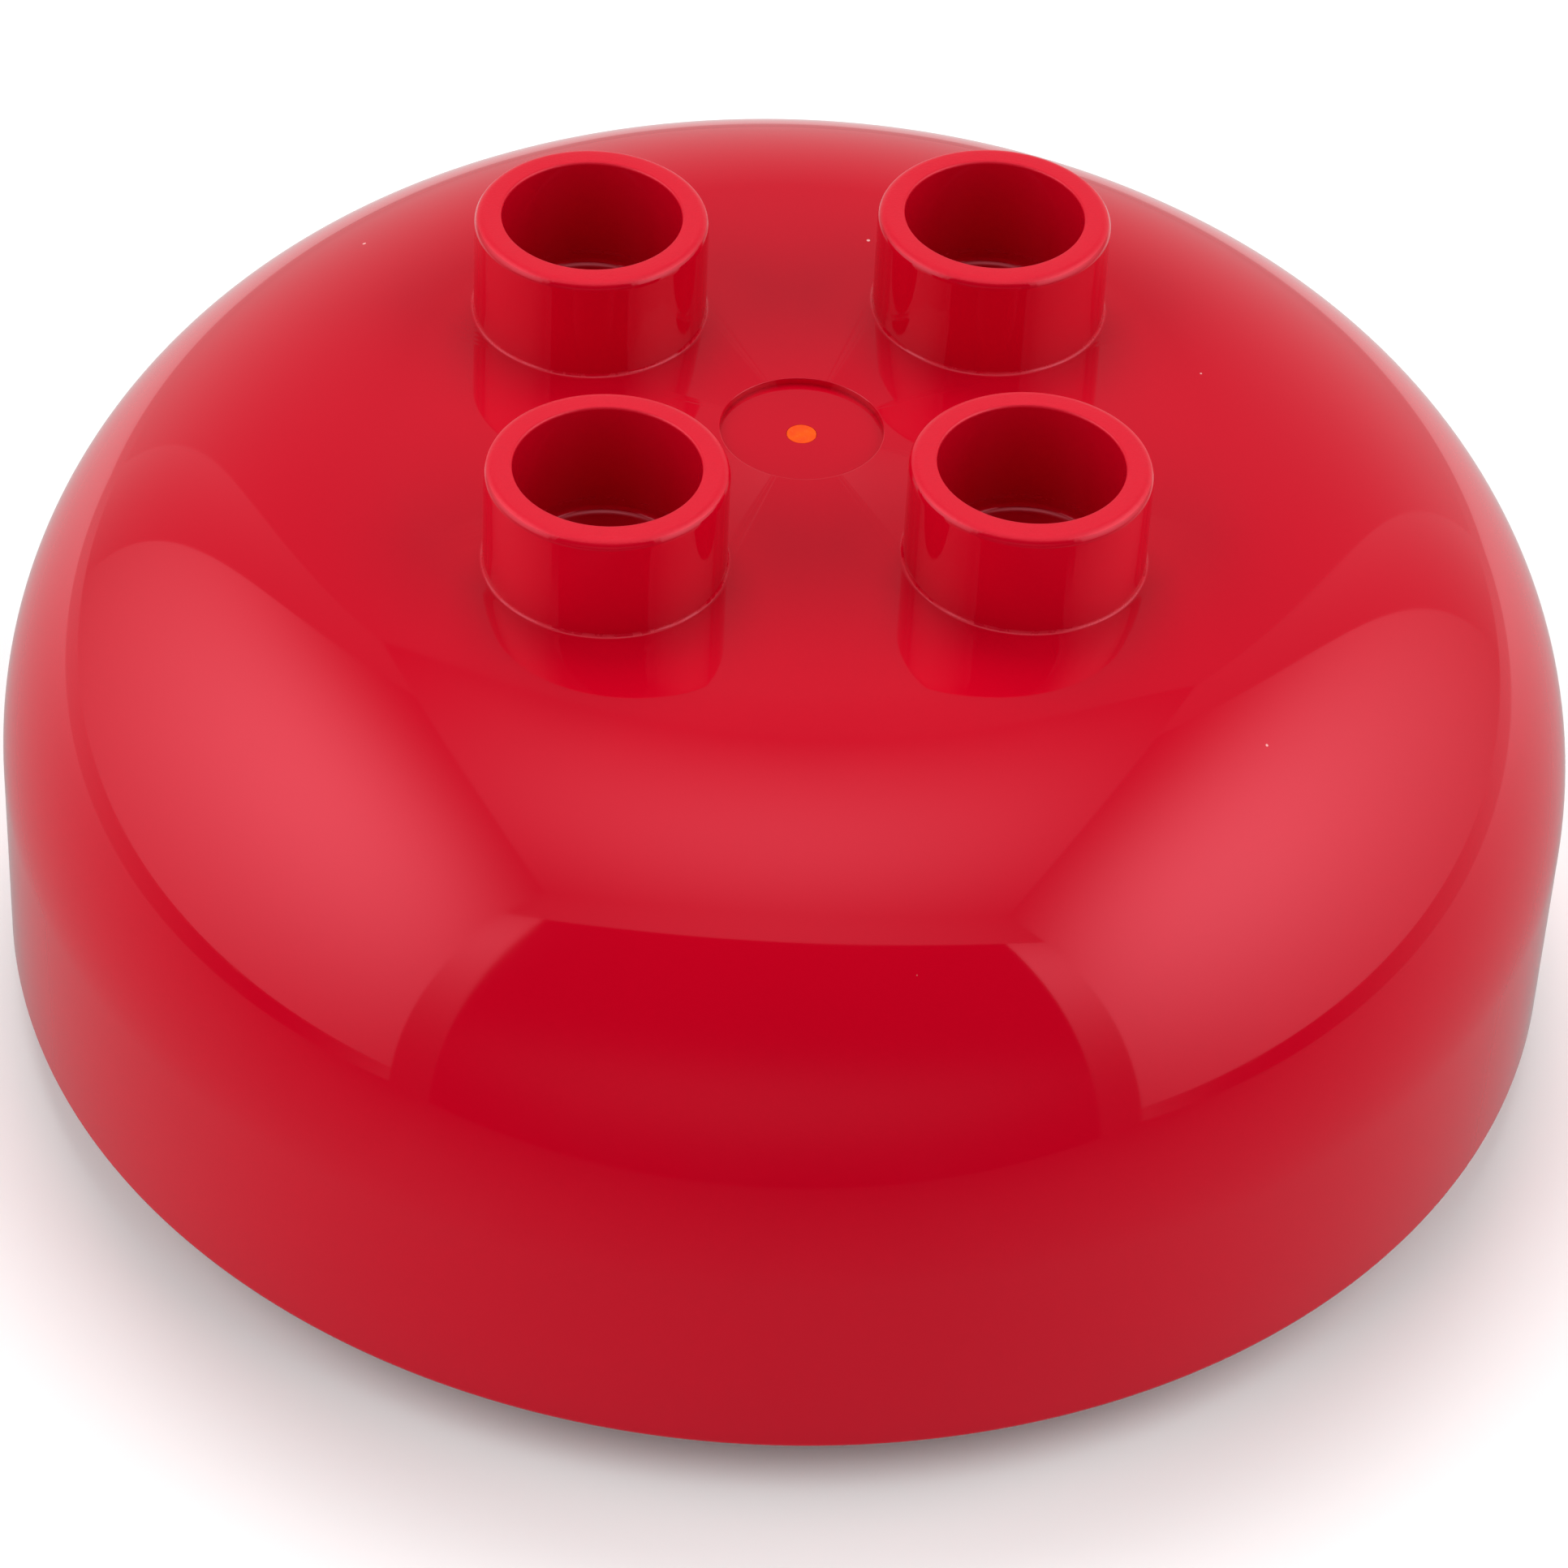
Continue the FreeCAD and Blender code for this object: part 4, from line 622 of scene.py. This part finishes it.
def make_finishes():
    """One material for each slot of the record."""
    steel = (0.62, 0.62, 0.64)
    wire = (0.55, 0.56, 0.58)
    along_wire = (1.0, 1.0, 0.25)
    return {
        "red_shell": red_shell(),
        "amber_lens": amber_lens(),
        "lamp_epoxy": lamp_epoxy(),
        "base_plastic": moulded("base_plastic", (0.050, 0.052, 0.057), (0.070, 0.072, 0.078),
                                0.52, 0.16, 0.016),
        "switch_black": moulded("switch_black", (0.018, 0.018, 0.020), (0.030, 0.030, 0.033),
                                0.36, 0.10, 0.006),
        "chip_epoxy": moulded("chip_epoxy", (0.020, 0.020, 0.022), (0.034, 0.034, 0.036),
                              0.58, 0.06, 0.006),
        "white_plastic": moulded("white_plastic", (0.72, 0.71, 0.67), (0.64, 0.63, 0.58),
                                 0.34, 0.12, 0.005),
        "steel_screw": plated("steel_screw", steel, (0.50, 0.50, 0.54), 0.26),
        "spring_steel": plated("spring_steel", wire, (0.42, 0.43, 0.46), 0.30, along_wire, 0.12),
        "tinned": plated("tinned", (0.74, 0.74, 0.72), (0.62, 0.62, 0.60), 0.22, mark=0.15),
        "nickel": plated("nickel", (0.66, 0.65, 0.62), (0.54, 0.53, 0.50), 0.30, (1.0, 0.08, 1.0), 0.2),
        "cell_can": brushed_cell(),
        "brass_insert": brass_insert(),
        "ferrite": moulded("ferrite", (0.070, 0.070, 0.075), (0.110, 0.110, 0.115), 0.48, 0.14, 0.012, 1.8),
        "cone_film": speaker_film(),
        "board_green": board_green(),
        "capacitor_sleeve": plated("capacitor_sleeve", (0.70, 0.70, 0.71), (0.60, 0.60, 0.62), 0.30,
                                   (1.0, 1.0, 0.05), 0.15),
        "resistor_body": ceramic("resistor_body", (0.030, 0.030, 0.035), (0.055, 0.055, 0.060)),
        "ceramic_body": ceramic("ceramic_body", (0.42, 0.28, 0.16), (0.34, 0.21, 0.11)),
        "rubber_black": rubber_black(),
        "foam_grey": foam_grey(),
        "wire_red": insulation("wire_red", (0.62, 0.020, 0.020), (0.70, 0.050, 0.045)),
        "wire_black": insulation("wire_black", (0.020, 0.020, 0.022), (0.040, 0.040, 0.043)),
    }


def dress(piece, made):
    piece.data.materials.clear()
    piece.data.materials.append(made)


def dress_nodes(finishes):
    """Gives every CAD node that is still shown the material of its slot."""
    for subpart in frame["record"]["subparts"]:
        if subpart["node"] not in ["button_shell", *SPRING_NODES]:
            dress(nodes[subpart["node"]], finishes[subpart["material_slot"]])


# ---------------------------------------------------------------- stage
TENT_HALF = 110.0 * MM         # soft walls round the object, turned to the camera, that only reflections see
TENT_HIGH = 225.0 * MM
TENT_FOOT = 9.0 * MM           # band where the walls meet the floor
TENT_BACK_STRIP = 68.0 * MM    # the side walls' lit part ends this far behind the object
TENT_FRONT_STRIP = 90.0 * MM   # the open front begins this far from the middle
TENT_FRONT_TOP = 165.0 * MM    # the open front ends at this height
FLOOR_CARD_Z = 0.2 * MM
# Light of each wall: a place, how far its effect reaches along X, Y and Z (0 means no change along that
# axis), both in millimetres, the brightness far from that place, and the brightness there.
GLOWS = {
    "foot": ((0, -60, 0), (0, 70, 0), 0.52, 0.02),
    "side_back": ((0, 125, 30), (0, 40, 120), 0.24, 0.60),
    "side_front": ((0, 0, 125), (0, 0, 60), 0.05, 1.05),
    "front": ((0, 0, 38), (80, 0, 22), 0.0, 0.16),
    "left": ((0, -30, 98), (0, 96, 80), 0.10, 1.96),
    "right": ((0, -36, 100), (0, 96, 80), 0.10, 2.0),
    "top": ((0, -25, 0), (120, 95, 0), 0.05, 1.06),
    "back": ((0, 0, 20), (160, 0, 65), 0.22, 0.62),
    "floor": ((0, 90, 0), (0, 105, 0), 0.03, 0.85),
}
# Lamps that give the light and shade: place and size in metres, power in watts.
LAMPS = {
    "lamp_left": ((-0.62, -0.10, 0.34), 0.8, 4.2),
    "lamp_right": ((0.62, -0.08, 0.34), 0.8, 4.2),
    "lamp_back": ((0.0, 0.53, 0.85), 0.6, 5.6),
}
SKY = 0.43                     # brightness of the even light from all round
FLOOR_HALF = 3.0
FLOOR_PALE = (0.92, 0.92, 0.92)
FLOOR_DEEP = (0.91, 0.91, 0.91)


def glow(name):
    """Light of the named kind, which changes smoothly from its place outwards."""
    middle, reach, far, near = GLOWS[name]
    made = bpy.data.materials.new("glow_" + name)
    made.use_nodes = True
    tree = made.node_tree
    tree.nodes.clear()
    out = tree.nodes.new("ShaderNodeOutputMaterial")
    emit = tree.nodes.new("ShaderNodeEmission")
    place = tree.nodes.new("ShaderNodeTexCoord")
    away = tree.nodes.new("ShaderNodeVectorMath")
    away.operation = "SUBTRACT"
    away.inputs[1].default_value = [m * MM for m in middle]
    share = tree.nodes.new("ShaderNodeVectorMath")
    share.operation = "MULTIPLY"
    share.inputs[1].default_value = [1.0 / (r * MM) if r else 0.0 for r in reach]
    square = tree.nodes.new("ShaderNodeVectorMath")
    square.operation = "DOT_PRODUCT"
    fall = tree.nodes.new("ShaderNodeMath")
    fall.operation = "POWER"
    fall.inputs[0].default_value = 1.0 / math.e
    level = tree.nodes.new("ShaderNodeMath")
    level.operation = "MULTIPLY_ADD"
    level.inputs[1].default_value = near - far
    level.inputs[2].default_value = far
    tree.links.new(place.outputs["Object"], away.inputs[0])
    tree.links.new(away.outputs[0], share.inputs[0])
    tree.links.new(share.outputs[0], square.inputs[0])
    tree.links.new(share.outputs[0], square.inputs[1])
    tree.links.new(square.outputs["Value"], fall.inputs[1])
    tree.links.new(fall.outputs[0], level.inputs[0])
    tree.links.new(level.outputs[0], emit.inputs["Strength"])
    tree.links.new(emit.outputs[0], out.inputs[0])
    return made


def card(name, corner, across, up, light):
    """A flat card that only reflections see, from a corner and its two sides."""
    a, b, c = Vector(corner), Vector(across), Vector(up)
    mesh = bpy.data.meshes.new(name)
    mesh.from_pydata([a, a + b, a + b + c, a + c], [], [(0, 1, 2, 3)])
    piece = link(name, mesh)
    piece.rotation_euler.z = math.radians(VIEW_AZIMUTH)
    piece.visible_camera = False
    piece.visible_diffuse = False
    piece.visible_shadow = False
    piece.visible_transmission = False
    mesh.materials.append(light)


def make_tent():
    """Four walls, a roof and a floor card. The front is open, and the side walls change at their ends."""
    h, top, foot, open_top = TENT_HALF, TENT_HIGH, TENT_FOOT, TENT_FRONT_TOP
    wall = (0, 0, top - foot)
    lights = {name: glow(name) for name in GLOWS}
    for sign, name in ((-1, "left"), (1, "right")):
        x = sign * h
        side = "card_" + name
        card(side, (x, -h, foot), (0, h + TENT_BACK_STRIP, 0), wall, lights[name])
        card(side + "_back", (x, TENT_BACK_STRIP, foot), (0, h - TENT_BACK_STRIP, 0), wall,
             lights["side_back"])
        card(side + "_front", (x, -h, 0), (sign * (TENT_FRONT_STRIP - h), 0, 0), (0, 0, open_top),
             lights["side_front"])
        card(side + "_foot", (x, -h, 0), (0, 2 * h, 0), (0, 0, foot), lights["foot"])
    card("card_top", (-h, -h, top), (2 * h, 0, 0), (0, 2 * h, 0), lights["top"])
    card("card_back", (-h, h, foot), (2 * h, 0, 0), wall, lights["back"])
    card("card_back_foot", (-h, h, 0), (2 * h, 0, 0), (0, 0, foot), lights["foot"])
    card("card_front", (-TENT_FRONT_STRIP, -h, 0), (2 * TENT_FRONT_STRIP, 0, 0), (0, 0, open_top),
         lights["front"])
    card("card_front_top", (-h, -h, open_top), (2 * h, 0, 0), (0, 0, top - open_top), lights["top"])
    card("card_floor", (-h, -h, FLOOR_CARD_Z), (2 * h, 0, 0), (0, 2 * h, 0), lights["floor"])


def make_floor():
    mesh = bpy.data.meshes.new("floor")
    corners = [(sx * FLOOR_HALF, sy * FLOOR_HALF, 0) for sx, sy in ((-1, -1), (1, -1), (1, 1), (-1, 1))]
    mesh.from_pydata(corners, [], [(0, 1, 2, 3)])
    floor = link("floor", mesh)
    floor.visible_glossy = False
    paper = Finish("floor", FLOOR_PALE, 0.75)
    paper.tint(paper.spread(paper.grain(60.0), 0.3, 0.7), FLOOR_DEEP)
    paper.shader.inputs["Specular IOR Level"].default_value = 0.1
    mesh.materials.append(paper.made)


def lamp(name, place, size, power):
    """Soft lamp that points at the origin and that reflections don't see."""
    data = bpy.data.lights.new(name, "AREA")
    data.size = size
    data.energy = power
    made = bpy.data.objects.new(name, data)
    made.location = place
    made.rotation_euler = (-Vector(place)).to_track_quat("-Z", "Y").to_euler()
    made.visible_glossy = False
    bpy.context.scene.collection.objects.link(made)


def make_light():
    world = bpy.data.worlds.new("world")
    bpy.context.scene.world = world
    world.use_nodes = True
    background = world.node_tree.nodes["Background"]
    background.inputs["Color"].default_value = (1.0, 1.0, 1.0, 1.0)
    background.inputs["Strength"].default_value = SKY
    for name, (place, size, power) in LAMPS.items():
        lamp(name, place, size, power)


bpy.context.scene.view_settings.view_transform = "Standard"
make_camera()
finishes = make_finishes()
dress(make_shell(), finishes["red_shell"])
for coil in make_springs():
    dress(coil, finishes["spring_steel"])
dress_nodes(finishes)
make_floor()
make_light()
make_tent()
